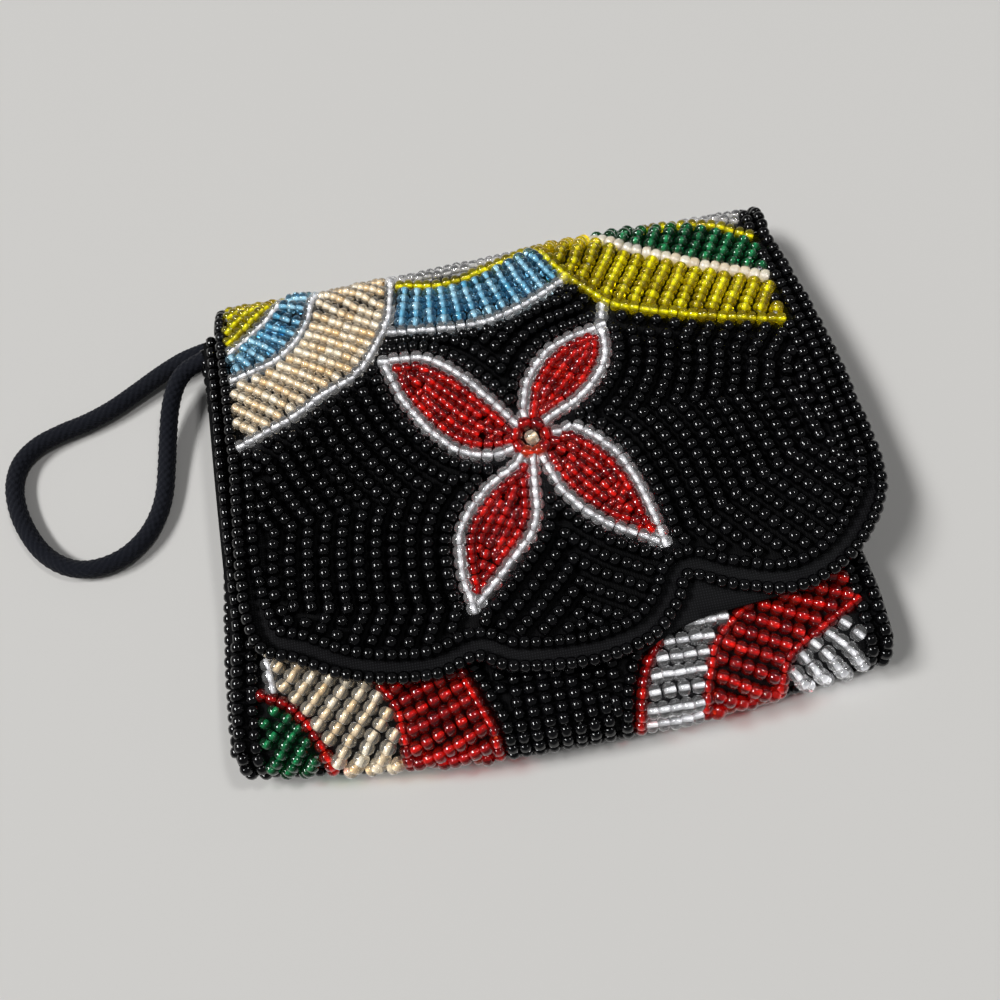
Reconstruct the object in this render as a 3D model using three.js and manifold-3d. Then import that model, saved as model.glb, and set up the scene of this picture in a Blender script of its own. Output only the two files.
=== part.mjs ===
// Beaded coin purse, closed and lying on its back. Millimetres, +Z up, +Y towards the top fold.
import * as THREE from "three";
import { mergeVertices } from "three/addons/utils/BufferGeometryUtils.js";
import Module from "manifold-3d";

const wasm = await Module();
wasm.setup();

// Driving dimensions
const clothHalfWidth = 52.5;
const clothThickness = 0.6;
const liningThickness = 0.4;
const seatGap = 0.25;
const cutGap = 0.35;
const beadHeight = 1.9;
const lanePitch = 3.0;
const laneValley = 1.0;
const backValley = 0.4;
const crestWidth = 1.2;
const lineRadius = 0.95;
const lineStep = 3.3;
const edgeRadius = 1.0;
const edgeBeadPitch = 2.4;
const frontRise = 8.2;
const foldLine = 36.5;
const mouthLine = 34;
const bottomLine = -38;
const bowStart = -22;
const bowDepth = 4.5;
const cordDiameter = 3.3;

// Heights of the layers, from the floor up
const backCloth = beadHeight + seatGap;
const backMiddle = backCloth + clothThickness / 2;
const frontToFlap = clothThickness + seatGap + beadHeight + cutGap;
const crownPoints = [
  [-60, 0],
  [bowStart, 0],
  [2, 1.2],
  [18, 0.9],
  [foldLine, 0.1],
];

function crown(y) {
  const after = Math.max(
    1,
    crownPoints.findIndex(([end]) => y <= end),
  );
  const [y0, z0] = crownPoints[after - 1];
  const [y1, z1] = crownPoints[after];
  return z0 + ((z1 - z0) * (y - y0)) / (y1 - y0);
}

function frontCloth(y) {
  return frontRise + crown(y);
}

function flapCloth(y) {
  return frontCloth(y) + frontToFlap;
}

const flapMiddle = flapCloth(foldLine) + clothThickness / 2;
const foldRadius = (flapMiddle - backMiddle) / 2;
const foldHeight = (flapMiddle + backMiddle) / 2;
const foldSeat = foldRadius + clothThickness / 2 + seatGap;

// Materials
function finish(color, roughness, metalness = 0) {
  return new THREE.MeshStandardMaterial({ color, roughness, metalness });
}

const cloth = finish(0x191b20, 0.95);
const satin = finish(0x22242b, 0.7);
const steel = finish(0xb9bcc0, 0.35, 1);
const braid = finish(0x16161e, 0.85);
const black = finish(0x0b0b0d, 0.15);
const clear = finish(0xc8c8cd, 0.12);
const red = finish(0xa50a0f, 0.15);
const orange = finish(0xd8391a, 0.15);
const yellow = finish(0xd8c408, 0.15);
const blue = finish(0x146e96, 0.15);
const green = finish(0x0a5a2d, 0.15);
const cream = finish(0xe1cda0, 0.15);
const pearl = finish(0xf0d7be, 0.2);

const purse = new THREE.Group();

function addNode(name, solid, material) {
  const mesh = new THREE.Mesh(geometryOf(solid), material);
  mesh.name = name;
  purse.add(mesh);
}

// Joining and cutting
function solidOf(geometry) {
  const bare = new THREE.BufferGeometry();
  bare.setAttribute("position", geometry.getAttribute("position"));
  bare.setIndex(geometry.index);
  const merged = mergeVertices(bare, 1e-4);
  return new wasm.Manifold(
    new wasm.Mesh({
      numProp: 3,
      vertProperties: merged.attributes.position.array,
      triVerts: new Uint32Array(merged.index.array),
    }),
  );
}

function geometryOf(solid) {
  const mesh = solid.getMesh();
  const geometry = new THREE.BufferGeometry();
  geometry.setAttribute("position", new THREE.BufferAttribute(mesh.vertProperties, 3));
  geometry.setIndex(new THREE.BufferAttribute(mesh.triVerts, 1));
  return geometry;
}

function addPatches(name, solid, count, material) {
  const patches = solid.decompose().sort((a, b) => b.volume() - a.volume());
  patches.slice(0, count).forEach((body, index) => addNode(name + "_" + (index + 1), body, material));
}

function largestBody(solid) {
  const bodies = solid.decompose();
  return bodies.reduce((best, body) => (body.volume() > best.volume() ? body : best));
}

// Outlines in plan
function spline(points, steps) {
  const curve = new THREE.SplineCurve(points.map(([x, y]) => new THREE.Vector2(x, y)));
  return curve.getSpacedPoints(steps).map((point) => [point.x, point.y]);
}

function sideways(points, index) {
  const before = points[Math.max(index - 1, 0)];
  const after = points[Math.min(index + 1, points.length - 1)];
  const direction = new THREE.Vector2(after[0] - before[0], after[1] - before[1]).normalize();
  return [-direction.y, direction.x];
}

function shifted(points, distance) {
  return points.map(([x, y], index) => {
    const [across, along] = sideways(points, index);
    return [x + across * distance, y + along * distance];
  });
}

function prism(points, low, high) {
  const shape = new THREE.Shape(points.map(([x, y]) => new THREE.Vector2(x, y)));
  const geometry = new THREE.ExtrudeGeometry(shape, { depth: high - low, bevelEnabled: false });
  return solidOf(geometry.translate(0, 0, low));
}

function trench(points, halfWidth) {
  return [...shifted(points, halfWidth), ...shifted(points, -halfWidth).reverse()];
}

// A closed outline moved in or out, without the points that would fold over at a sharp corner
function inset(outline, distance) {
  const closed = [outline.at(-1), ...outline, outline[0]];
  const moved = shifted(closed, -outwards(outline) * distance).slice(1, -1);
  const reach = Math.abs(distance) * 0.96;
  return moved.filter(([x, y]) => outline.every(([px, py]) => Math.hypot(px - x, py - y) > reach));
}

function outwards(outline) {
  const area = THREE.ShapeUtils.area(outline.map(([x, y]) => new THREE.Vector2(x, y)));
  return area > 0 ? -1 : 1;
}

// Cloth strips, drawn from the side and run across the width
const acrossWidth = new THREE.Matrix4().makeBasis(
  new THREE.Vector3(0, 1, 0),
  new THREE.Vector3(0, 0, 1),
  new THREE.Vector3(1, 0, 0),
);

function runAcross(outline, left, right, steps = 1) {
  const shape = new THREE.Shape(outline.map(([y, z]) => new THREE.Vector2(y, z)));
  const geometry = new THREE.ExtrudeGeometry(shape, { depth: right - left, steps, bevelEnabled: false });
  geometry.translate(0, 0, left).applyMatrix4(acrossWidth);
  const position = geometry.getAttribute("position");
  for (let i = 0; i < position.count; i += 1) {
    position.setY(i, bowed(position.getX(i), position.getY(i)));
  }
  return solidOf(geometry);
}

function bowed(x, y) {
  const share = THREE.MathUtils.clamp((bowStart - y) / (bowStart - bottomLine), 0, 1);
  return y - bowDepth * Math.max(0, 1 - (x / clothHalfWidth) ** 2) * share;
}

function unbowed(x, y) {
  const bow = bowDepth * Math.max(0, 1 - (x / clothHalfWidth) ** 2);
  const share = bow / (bowStart - bottomLine);
  const level = (y + share * bowStart) / (1 + share);
  if (y > bowStart) {
    return y;
  }
  return level > bottomLine ? level : y + bow;
}

function bottomEdge(reach) {
  const edge = [];
  for (let x = -clothHalfWidth; x <= clothHalfWidth; x += clothHalfWidth / 8) {
    edge.push([x, bowed(x, bottomLine) - reach]);
  }
  return edge;
}

function rimPoint(centre, radius, angle) {
  return [centre[0] + radius * Math.cos(angle), centre[1] + radius * Math.sin(angle)];
}

function arc(centre, radius, from, to, steps) {
  const step = (to - from) / steps;
  return Array.from({ length: steps + 1 }, (_, i) => rimPoint(centre, radius, from + step * i));
}

function band(middle, thickness) {
  return [...shifted(middle, thickness / 2), ...shifted(middle, -thickness / 2).reverse()];
}

const crownStops = crownPoints.map(([y]) => y).filter((y) => y > bottomLine && y < mouthLine);

// The pocket wall from its mouth, down the front, round the bottom and up the back
function pocketWall(frontMiddle, backLevel, top) {
  const bottomFront = frontMiddle(bottomLine);
  const radius = (bottomFront - backLevel) / 2;
  const turn = arc([bottomLine, backLevel + radius], radius, Math.PI / 2, (3 * Math.PI) / 2, 6);
  const down = [mouthLine, ...crownStops.slice().reverse()].map((y) => [y, frontMiddle(y)]);
  return [...down, ...turn, [top, backLevel]];
}

const bodyWall = pocketWall((y) => frontCloth(y) + clothThickness / 2, backMiddle, foldLine);
const fold = arc([foldLine, foldHeight], foldRadius, -Math.PI / 2, Math.PI / 2, 8);
const bodyStrip = runAcross(
  band([...bodyWall, ...fold.slice(1)], clothThickness),
  -clothHalfWidth,
  clothHalfWidth,
  6,
);
const bodySide = [[mouthLine, backMiddle], ...bodyWall.slice(0, -1)];
const leftSide = runAcross(bodySide, -clothHalfWidth, -clothHalfWidth + clothThickness);
const rightSide = runAcross(bodySide, clothHalfWidth - clothThickness, clothHalfWidth);

// Flap outline, along the row of edging beads
const flapEdge = spline(
  [
    [-48.3, 35.5],
    [-47.9, 8],
    [-48.2, -20.5],
    [-40.6, -27],
    [-30.8, -31.6],
    [-20, -33.1],
    [-12.4, -31.4],
    [-7.5, -33.9],
    [4.5, -35.3],
    [15, -33.4],
    [21, -28.2],
    [23.4, -24.4],
    [29.4, -27],
    [39, -29.6],
    [48, -26.9],
    [55.6, -19.4],
    [57.4, -11],
    [55.2, 5],
    [52.8, 21],
    [50.8, 35.5],
  ],
  84,
);
const flapCut = [[-clothHalfWidth, 37.5], ...flapEdge, [clothHalfWidth, 37.5]];
const flapMiddleLine = [-45, ...crownStops, foldLine].map((y) => [y, flapCloth(y) + clothThickness / 2]);
flapMiddleLine.push([foldLine + 0.4, flapMiddle]);
const flapStrip = runFlat(band(flapMiddleLine, clothThickness)).intersect(prism(flapCut, 0, 40));

function runFlat(outline) {
  const shape = new THREE.Shape(outline.map(([y, z]) => new THREE.Vector2(y, z)));
  const reach = 1.2 * clothHalfWidth;
  const geometry = new THREE.ExtrudeGeometry(shape, { depth: 2 * reach, bevelEnabled: false });
  return solidOf(geometry.translate(0, 0, -reach).applyMatrix4(acrossWidth));
}

addNode("outer_cloth", bodyStrip.add(leftSide).add(rightSide).add(flapStrip), cloth);

// Pocket lining
const liningReach = clothHalfWidth - clothThickness - seatGap;
const liningShift = seatGap + liningThickness / 2;
const liningBack = backCloth + clothThickness + liningShift;
const liningWall = pocketWall((y) => frontCloth(y) - liningShift, liningBack, mouthLine);
const liningStrip = runAcross(band(liningWall, liningThickness), -liningReach, liningReach, 6);
const liningSide = [...liningWall];
const liningLeft = runAcross(liningSide, -liningReach, -liningReach + liningThickness);
const liningRight = runAcross(liningSide, liningReach - liningThickness, liningReach);
addNode("pocket_lining", liningStrip.add(liningLeft).add(liningRight), satin);

// Press stud between the front and the flap
const studX = 5;
const studY = -28;
const studRadius = 4.5;
const studHole = 1.9;
const studFoot = frontCloth(studY) + clothThickness + 0.1;

function turned(profile) {
  const points = profile.map(([radius, z]) => new THREE.Vector2(radius, z));
  const geometry = new THREE.LatheGeometry(points, 14);
  geometry.rotateX(Math.PI / 2).translate(studX, studY, studFoot);
  return solidOf(geometry);
}

addNode(
  "press_stud_ball",
  turned([
    [0, 0],
    [studRadius, 0],
    [studRadius, 0.7],
    [1.6, 0.7],
    [1.6, 1.5],
    [1.2, 1.8],
    [0, 1.8],
  ]),
  steel,
);
addNode(
  "press_stud_socket",
  turned([
    [studHole, 1.1],
    [studRadius, 1.1],
    [studRadius, 2.1],
    [studHole, 2.1],
    [studHole, 1.1],
  ]),
  steel,
);

// Rows of beads as ridges on a sheet that follows the cloth
function laneSection(left, right, pitch, crest, valley = laneValley) {
  const section = [];
  for (let x = left; x < right - pitch / 2; x += pitch) {
    section.push([x, valley]);
    section.push([x + (pitch - crest) / 2, beadHeight]);
    if (crest > 0) {
      section.push([x + (pitch + crest) / 2, beadHeight]);
    }
  }
  section.push([section.at(-1)[0] + (pitch - crest) / 2, valley]);
  return section;
}

// Seat points hold y, z and the direction in which the beads stand up
function beadSheet(seat, section, place = (x, y) => [x, y]) {
  const valleys = section.filter(([, height]) => height < beadHeight);
  const stride = (section.length - 1) / (valleys.length - 1);
  const vertices = [];
  const faces = [];
  const rows = seat.map((point) => {
    const top = section.map(([x, height]) => addPoint(x, point, height));
    const low = valleys.map(([x]) => addPoint(x, point, 0));
    return { top, low };
  });

  function addPoint(x, point, rise) {
    const [planX, planY] = place(x, point.y + point.outY * rise);
    vertices.push(planX, planY, point.z + point.outZ * rise);
    return vertices.length / 3 - 1;
  }

  function square(a, b, c, d) {
    faces.push(a, b, c, a, c, d);
  }

  for (let j = 0; j + 1 < rows.length; j += 1) {
    const here = rows[j];
    const next = rows[j + 1];
    for (let i = 0; i + 1 < section.length; i += 1) {
      square(here.top[i], here.top[i + 1], next.top[i + 1], next.top[i]);
    }
    for (let v = 0; v + 1 < valleys.length; v += 1) {
      square(here.low[v], next.low[v], next.low[v + 1], here.low[v + 1]);
    }
    square(here.top[0], next.top[0], next.low[0], here.low[0]);
    square(next.top.at(-1), here.top.at(-1), here.low.at(-1), next.low.at(-1));
  }
  const first = rows[0];
  const last = rows.at(-1);
  for (let v = 0; v + 1 < valleys.length; v += 1) {
    for (let i = v * stride; i < (v + 1) * stride; i += 1) {
      faces.push(first.top[i + 1], first.top[i], first.low[v]);
      faces.push(last.top[i], last.top[i + 1], last.low[v]);
    }
    faces.push(first.low[v + 1], first.top[(v + 1) * stride], first.low[v]);
    faces.push(last.top[(v + 1) * stride], last.low[v + 1], last.low[v]);
  }
  const geometry = new THREE.BufferGeometry();
  geometry.setAttribute("position", new THREE.Float32BufferAttribute(vertices, 3));
  geometry.setIndex(faces);
  return solidOf(geometry);
}

function flatSeat(stops, level) {
  return stops.map((y) => ({ y, z: level(y), outY: 0, outZ: 1 }));
}

function roundSeat(centre, radius, from, to, steps) {
  return arc(centre, radius, from, to, steps).map(([y, z]) => ({
    y,
    z,
    outY: (y - centre[0]) / radius,
    outZ: (z - centre[1]) / radius,
  }));
}

const foldCentre = [foldLine, foldHeight];
const bottomRadius = (frontCloth(bottomLine) + clothThickness / 2 - backMiddle) / 2;
const bottomCentre = [bottomLine, backMiddle + bottomRadius];
const bottomSeat = bottomRadius + clothThickness / 2 + seatGap;

const flapTop = (y) => flapCloth(y) + clothThickness + seatGap;
const frontTop = (y) => frontCloth(y) + clothThickness + seatGap;
const foldEnd = 0.035;
const foldTop = 44.2;
const farTop = 46;
const flapSeat = [
  ...flatSeat([-45, ...crownStops], flapTop),
  ...roundSeat(foldCentre, foldSeat, Math.PI / 2, foldEnd, 3),
];
const frontSeat = [
  ...roundSeat(bottomCentre, bottomSeat, Math.PI - foldEnd, Math.PI / 2, 2),
  ...flatSeat([bowStart], frontTop),
];
const hiddenSeat = flatSeat([bowStart + cutGap, ...crownStops.slice(1), mouthLine], frontTop);
const broadLane = 2 * lanePitch;
const laneReach = broadLane * Math.ceil(clothHalfWidth / broadLane);
const flapLanes = laneSection(-laneReach, laneReach + broadLane, lanePitch, 0);
const frontLanes = laneSection(-laneReach, laneReach, lanePitch, 0);
const flapSheet = beadSheet(flapSeat, flapLanes);
const frontSheet = beadSheet(frontSeat, frontLanes, (x, y) => [x, bowed(x, y)]);
const hiddenSheet = beadSheet(hiddenSeat, laneSection(-laneReach, laneReach, broadLane, 0));

// The back, with flat crests that it lies on, carried up round the fold
const backSeat = [
  ...roundSeat(foldCentre, foldSeat, -foldEnd, -Math.PI / 2, 3),
  { y: -50, z: beadHeight, outY: 0, outZ: -1 },
];
const backReach = clothHalfWidth - 0.3;
const backLanes = laneSection(-clothHalfWidth, clothHalfWidth, lanePitch, crestWidth, backValley);
const backSheet = beadSheet(backSeat, backLanes);
const backOutline = [...bottomEdge(0.5), [backReach, 60], [-backReach, 60]].map(([x, y]) => [
  THREE.MathUtils.clamp(x, -backReach, backReach),
  y,
]);
addNode("back_black_field", backSheet.intersect(prism(backOutline, -5, 40)), black);

// Single rows of beads laid along a curve, on the flap or on the front
const foldClear = 0.15;
const foldReach = foldSeat + lineRadius + foldClear;
const bottomReach = bottomSeat + lineRadius + foldClear;

function onFlap([x, run]) {
  if (run <= foldLine) {
    return new THREE.Vector3(x, run, flapTop(run) + lineRadius);
  }
  const [y, z] = rimPoint(foldCentre, foldReach, Math.PI / 2 - (run - foldLine) / foldReach);
  return new THREE.Vector3(x, y, z);
}

function onFront([x, y]) {
  const depth = bottomLine - unbowed(x, y);
  if (depth <= 0) {
    return new THREE.Vector3(x, y, frontTop(unbowed(x, y)) + lineRadius);
  }
  return new THREE.Vector3(x, y, bottomCentre[1] + Math.sqrt(bottomReach ** 2 - depth ** 2));
}

function tube(points, radius, sides, step) {
  const path = new THREE.CatmullRomCurve3(points);
  const section = new THREE.Shape(
    arc([0, 0], radius, 0, 2 * Math.PI, sides)
      .slice(1)
      .map(([x, y]) => new THREE.Vector2(x, y)),
  );
  const steps = Math.max(2, Math.round(path.getLength() / step));
  const options = { steps, bevelEnabled: false, extrudePath: path };
  return solidOf(new THREE.ExtrudeGeometry(section, options));
}

const flapTaken = [];
const frontTaken = [];

function beadLine(name, points, place, taken, material) {
  const length = new THREE.SplineCurve(points.map(([x, y]) => new THREE.Vector2(x, y))).getLength();
  const placed = spline(points, Math.round(length / lineStep)).map(place);
  addNode(name, tube(placed, lineRadius, 5, lineStep), material);
  const plan = placed.map((point) => [point.x, point.y]);
  const end = plan.at(-1)[1] > foldLine ? [plan.at(-1)[0], farTop] : beyond(plan.at(-2), plan.at(-1));
  const longer = [beyond(plan[1], plan[0]), ...plan, end];
  taken.push(prism(trench(longer, lineRadius + cutGap), 0, 40));
}

function beyond([x0, y0], [x1, y1]) {
  const length = Math.hypot(x1 - x0, y1 - y0);
  return [x1 + ((x1 - x0) * lineRadius) / length, y1 + ((y1 - y0) * lineRadius) / length];
}

function beadField(name, outline, sheet, taken, material) {
  const area = prism(outline, 6, 40);
  const kept = taken.reduce((solid, other) => solid.subtract(other), sheet.intersect(area));
  addNode(name, largestBody(kept), material);
  taken.push(prism(inset(outline, -cutGap), 0, 40));
}

const clearOne = [[-46.6, 31.4], [-42.5, 35], [-38.6, 38.8], [-36, foldTop]];
const clearTwo = [[-46.6, 23.9], [-43, 25.2], [-38.5, 27.4], [-35, 31.4], [-32.3, 36.7], [-30.4, foldTop]];
const clearThree = [
  [-46.4, 10.8],
  [-38.3, 13.8],
  [-31.2, 17.8],
  [-25.4, 20.4],
  [-21.8, 25],
  [-18.2, 33],
  [-16.4, foldTop],
];
const clearBlue = [[-16.8, 28.4], [-10.5, 27.4], [-2, 27], [4.3, 28.5], [11.6, 32]];
const yellowTop = [[-13.9, 38.6], [-9, 37.4], [-3, 37.6], [3, 39], [9.4, 40.4]];
const yellowBorder = [
  [11.4, foldTop],
  [13.4, 37],
  [15.8, 32.6],
  [18.4, 28.7],
  [21.4, 25.6],
  [26, 23.5],
  [34, 20.7],
  [42.4, 18.4],
  [50.2, 16.6],
];
const pearlCurve = [[20.6, foldTop], [25.8, 37.6], [32.9, 33.7], [39.4, 30.5], [48.2, 26.8]];
const greenTop = [[30.5, 41.5], [36, 40.4], [42.6, 38.2], [48, 35.3]];

beadLine("clear_line_1", clearOne, onFlap, flapTaken, clear);
beadLine("clear_line_2", clearTwo, onFlap, flapTaken, clear);
beadLine("clear_line_3", clearThree, onFlap, flapTaken, clear);
beadLine("clear_line_4", clearBlue, onFlap, flapTaken, clear);
beadLine("yellow_line_top", yellowTop, onFlap, flapTaken, yellow);
beadLine("yellow_line_border", yellowBorder.slice().reverse(), onFlap, flapTaken, yellow);
beadLine("pearl_line", pearlCurve.slice().reverse(), onFlap, flapTaken, pearl);
beadLine("yellow_line_green", greenTop.slice().reverse(), onFlap, flapTaken, yellow);

// Flower of four petals round an eye
const eye = [2.6, 3.1];
const ringRadius = 2.25;
const petals = {
  petal_nw: [
    [-0.4, 7.2],
    [-6.5, 15.8],
    [-13, 21.2],
    [-20.3, 22],
    [-17.5, 13.4],
    [-11.6, 4.6],
    [-6, 1.6],
    [-2.1, 1.3],
  ],
  petal_ne: [[2, 8.1], [4, 13.6], [9.1, 19.2], [17.6, 22], [17.2, 15.3], [12.8, 9.4], [6.4, 6.2]],
  petal_se: [
    [7.7, 3.4],
    [10.6, 3.6],
    [16.4, -2.3],
    [19.5, -10.9],
    [20.8, -18.6],
    [12, -13.4],
    [6.4, -7.2],
    [4.3, -1.9],
  ],
  petal_sw: [
    [-0.6, -1],
    [-6.4, -4.5],
    [-11.6, -10.4],
    [-12.4, -17.5],
    [-11.4, -22.6],
    [-5.2, -18],
    [0.6, -11.5],
    [2, -2],
  ],
};

for (const [name, outline] of Object.entries(petals)) {
  const tip = outline[3];
  const lean = Math.atan2(tip[1] - eye[1], tip[0] - eye[0]) - Math.PI / 2;
  const row = spline(outline, 20);
  addNode(name + "_outline", tube(row.map(onFlap), lineRadius, 5, lineStep), clear);
  const inside = inset(row, lineRadius + 1.4 * cutGap);
  addNode(name, largestBody(turnedSheet(lean).intersect(prism(inside, 6, 40))), red);
  flapTaken.push(prism(inset(row, -lineRadius - cutGap), 0, 40));
}

// A sheet with slanted lanes is a flat one, lifted to the flap at every step along its lanes
function turnedSheet(lean) {
  const half = 5 * lanePitch;
  const section = laneSection(eye[0] - half, eye[0] + half, lanePitch, 0);
  const reach = [-2, 8, 16, 24, 32].map((run) => ({ y: eye[1] + run, z: 0, outY: 0, outZ: 1 }));
  const pivot = new THREE.Vector2(...eye);
  const turn = (x, y) => new THREE.Vector2(x, y).rotateAround(pivot, lean).toArray();
  const flat = geometryOf(beadSheet(reach, section, turn));
  const position = flat.getAttribute("position");
  for (let i = 0; i < position.count; i += 1) {
    position.setZ(i, position.getZ(i) + flapTop(position.getY(i)));
  }
  return solidOf(flat);
}

const eyeHeight = flapTop(eye[1]) + lineRadius + 0.05;
const ring = new THREE.TorusGeometry(ringRadius, lineRadius, 5, 12);
addNode("flower_ring", solidOf(ring.translate(...eye, eyeHeight)), orange);
const eyeBead = new THREE.SphereGeometry(lineRadius, 8, 6);
addNode("flower_eye", solidOf(eyeBead.translate(...eye, eyeHeight)), cream);
const flowerHeart = arc(eye, ringRadius + lineRadius + cutGap, 0, 2 * Math.PI, 18).slice(0, -1);
flapTaken.push(prism(flowerHeart, 0, 40));

// Colour fields of the flap
const flapLeft = -47;
const flapRight = 49.4;
const toTop = (points) => [...points.slice(0, -1), [points[points.length - 1][0], farTop]];
beadField(
  "corner_yellow_field",
  [[flapLeft, 30], ...toTop(clearOne), [flapLeft, farTop]],
  flapSheet,
  flapTaken,
  yellow,
);
beadField("left_blue_band", [...toTop(clearTwo), ...toTop(clearOne).reverse()], flapSheet, flapTaken, blue);
beadField("cream_band", [...toTop(clearThree), ...toTop(clearTwo).reverse()], flapSheet, flapTaken, cream);
beadField(
  "top_blue_band",
  [[-18, 28.4], ...clearBlue, [13.4, 37], ...yellowTop.slice().reverse(), [-15.4, 39]],
  flapSheet,
  flapTaken,
  blue,
);
beadField(
  "yellow_band",
  [
    [11.4, farTop],
    ...yellowBorder.slice(1),
    [flapRight + 1, 25.5],
    ...pearlCurve.slice(1).reverse(),
    [20.6, farTop],
  ],
  flapSheet,
  flapTaken,
  yellow,
);
beadField(
  "green_band",
  [
    [21.6, farTop],
    ...pearlCurve.slice(1),
    [flapRight, 27],
    [flapRight - 0.4, 34.6],
    ...greenTop.slice().reverse(),
    [29, farTop],
  ],
  flapSheet,
  flapTaken,
  green,
);

// Black ground of the flap, and its edging beads beyond a strip of bare cloth
const bareStrip = 2.7;
const groundEdge = shifted(flapEdge, bareStrip);
const groundOutline = [[-51.5, 37.5], [-51.5, farTop], [51.5, farTop], [51.5, 37.5]].reverse();
const groundPrism = prism([...groundEdge, ...groundOutline], 6, 40);
const ground = flapTaken.reduce((solid, other) => solid.subtract(other), flapSheet.intersect(groundPrism));
addPatches("flap_black_field", ground, 4, black);

function beadString(points, radius, pitch) {
  const path = new THREE.CatmullRomCurve3(points);
  const beads = Math.round(path.getLength() / pitch);
  const rings = 2 * beads;
  const sides = 4;
  const frames = path.computeFrenetFrames(rings);
  const vertices = [];
  const faces = [];
  for (let r = 0; r <= rings; r += 1) {
    const centre = path.getPointAt(r / rings);
    const reach = r % 2 === 0 ? 0.6 * radius : radius;
    for (let s = 0; s < sides; s += 1) {
      const angle = (2 * Math.PI * s) / sides;
      const spot = centre.clone();
      spot.addScaledVector(frames.normals[r], reach * Math.cos(angle));
      spot.addScaledVector(frames.binormals[r], reach * Math.sin(angle));
      vertices.push(spot.x, spot.y, spot.z);
    }
  }
  for (let r = 0; r < rings; r += 1) {
    for (let s = 0; s < sides; s += 1) {
      const a = r * sides + s;
      const b = r * sides + ((s + 1) % sides);
      faces.push(a, b, b + sides, a, b + sides, a + sides);
    }
  }
  for (let s = 1; s + 1 < sides; s += 1) {
    const last = rings * sides;
    faces.push(0, s + 1, s, last, last + s, last + s + 1);
  }
  const geometry = new THREE.BufferGeometry();
  geometry.setAttribute("position", new THREE.Float32BufferAttribute(vertices, 3));
  geometry.setIndex(faces);
  return solidOf(geometry);
}

const edgePath = flapEdge.map(([x, y]) => new THREE.Vector3(x, y, flapTop(y) + edgeRadius));
addNode("flap_edge_beads", beadString(edgePath, edgeRadius, edgeBeadPitch), black);

// Front below the flap
const frontReach = clothHalfWidth - 0.2;
const columnsWidth = 3.7;
const columnsLeft = columnsWidth - frontReach;
const columnsRight = frontReach - columnsWidth;
const fromColumns = (edge, points) => points.map(([inwards, y]) => [edge + inwards, y]);
const redOne = fromColumns(columnsLeft, [
  [1, -31],
  [3.8, -32.7],
  [6, -34.8],
  [7.7, -37.6],
  [9, -40.5],
  [9.8, -43],
]);
const redTwo = [[17.8, -32.5], [14.6, -36.8], [13, -40.2], [12, -43.4], [11.5, -45.6]];
const redThree = [[33.8, -29.6], [29.1, -32.8], [25.9, -35.8], [24.3, -39.3], [23, -42.6], [22.4, -45]];
const redFour = fromColumns(columnsRight, [
  [-0.2, -32.8],
  [-6.2, -36.5],
  [-10.2, -38.8],
  [-12.6, -41.2],
  [-13.7, -43.6],
]);
beadLine("front_red_line_1", redOne, onFront, frontTaken, red);
beadLine("front_red_line_2", redTwo, onFront, frontTaken, red);
beadLine("front_red_line_3", redThree, onFront, frontTaken, red);
beadLine("front_red_line_4", redFour, onFront, frontTaken, red);

const below = -60;
const blockLeft = [[-34.5, -26], [-29.6, -33.6], [-27.8, -37], [-27.2, -41], [-27.2, below]];
const blockRight = [[-18, -26], [-15.6, -33.8], [-13.9, -38.9], [-12.6, -42.8], [-12.4, below]];
const frontLimit = prism(
  [...bottomEdge(20), [frontReach, mouthLine], [-frontReach, mouthLine]].map(([x, y]) => [
    THREE.MathUtils.clamp(x, -frontReach, frontReach),
    y,
  ]),
  0,
  40,
);
const frontArea = frontSheet.intersect(frontLimit);
beadField(
  "front_green_corner",
  [[columnsLeft, -31], ...redOne, [redOne.at(-1)[0], below], [columnsLeft, below]],
  frontArea,
  frontTaken,
  green,
);
beadField(
  "front_cream_field",
  [
    [columnsLeft, -31],
    ...redOne,
    [redOne.at(-1)[0], below],
    ...blockLeft.slice().reverse(),
    [columnsLeft, bowStart],
  ],
  frontArea,
  frontTaken,
  cream,
);
beadField(
  "front_red_block_left",
  [...blockLeft, ...blockRight.slice().reverse()],
  frontArea,
  frontTaken,
  red,
);
beadField(
  "front_clear_field",
  [...redTwo, [11.5, below], [22.4, below], ...redThree.slice().reverse()],
  frontArea,
  frontTaken,
  clear,
);
beadField(
  "front_red_block_right",
  [
    ...redThree,
    [22.4, below],
    [redFour.at(-1)[0], below],
    ...redFour.slice().reverse(),
    [columnsRight, -27],
  ],
  frontArea,
  frontTaken,
  red,
);
beadField(
  "front_clear_corner",
  [...redFour, [redFour.at(-1)[0], below], [columnsRight, below], [columnsRight, -32.6]],
  frontArea,
  frontTaken,
  clear,
);
const studClear = arc([studX, studY], studRadius + 2 * cutGap, 0, 2 * Math.PI, 20).slice(0, -1);
frontTaken.push(prism(studClear, 0, 40));
const frontGround = frontTaken.reduce((solid, other) => solid.subtract(other), frontArea);
addPatches("front_black_field", frontGround, 2, black);
addNode("front_upper_field", hiddenSheet.intersect(frontLimit), black);

// Rows of black beads along the sides and the bottom
const rowCount = 3;
const rowPitch = 2.4;
const rowStart = 0.5;

function rowSection() {
  const section = [];
  for (let row = 0; row < rowCount; row += 1) {
    section.push([laneValley, rowStart + row * rowPitch]);
    section.push([beadHeight, rowStart + row * rowPitch + 0.7]);
    section.push([beadHeight, rowStart + (row + 1) * rowPitch - 0.7]);
  }
  section.push([laneValley, rowStart + rowCount * rowPitch]);
  return section;
}

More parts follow.
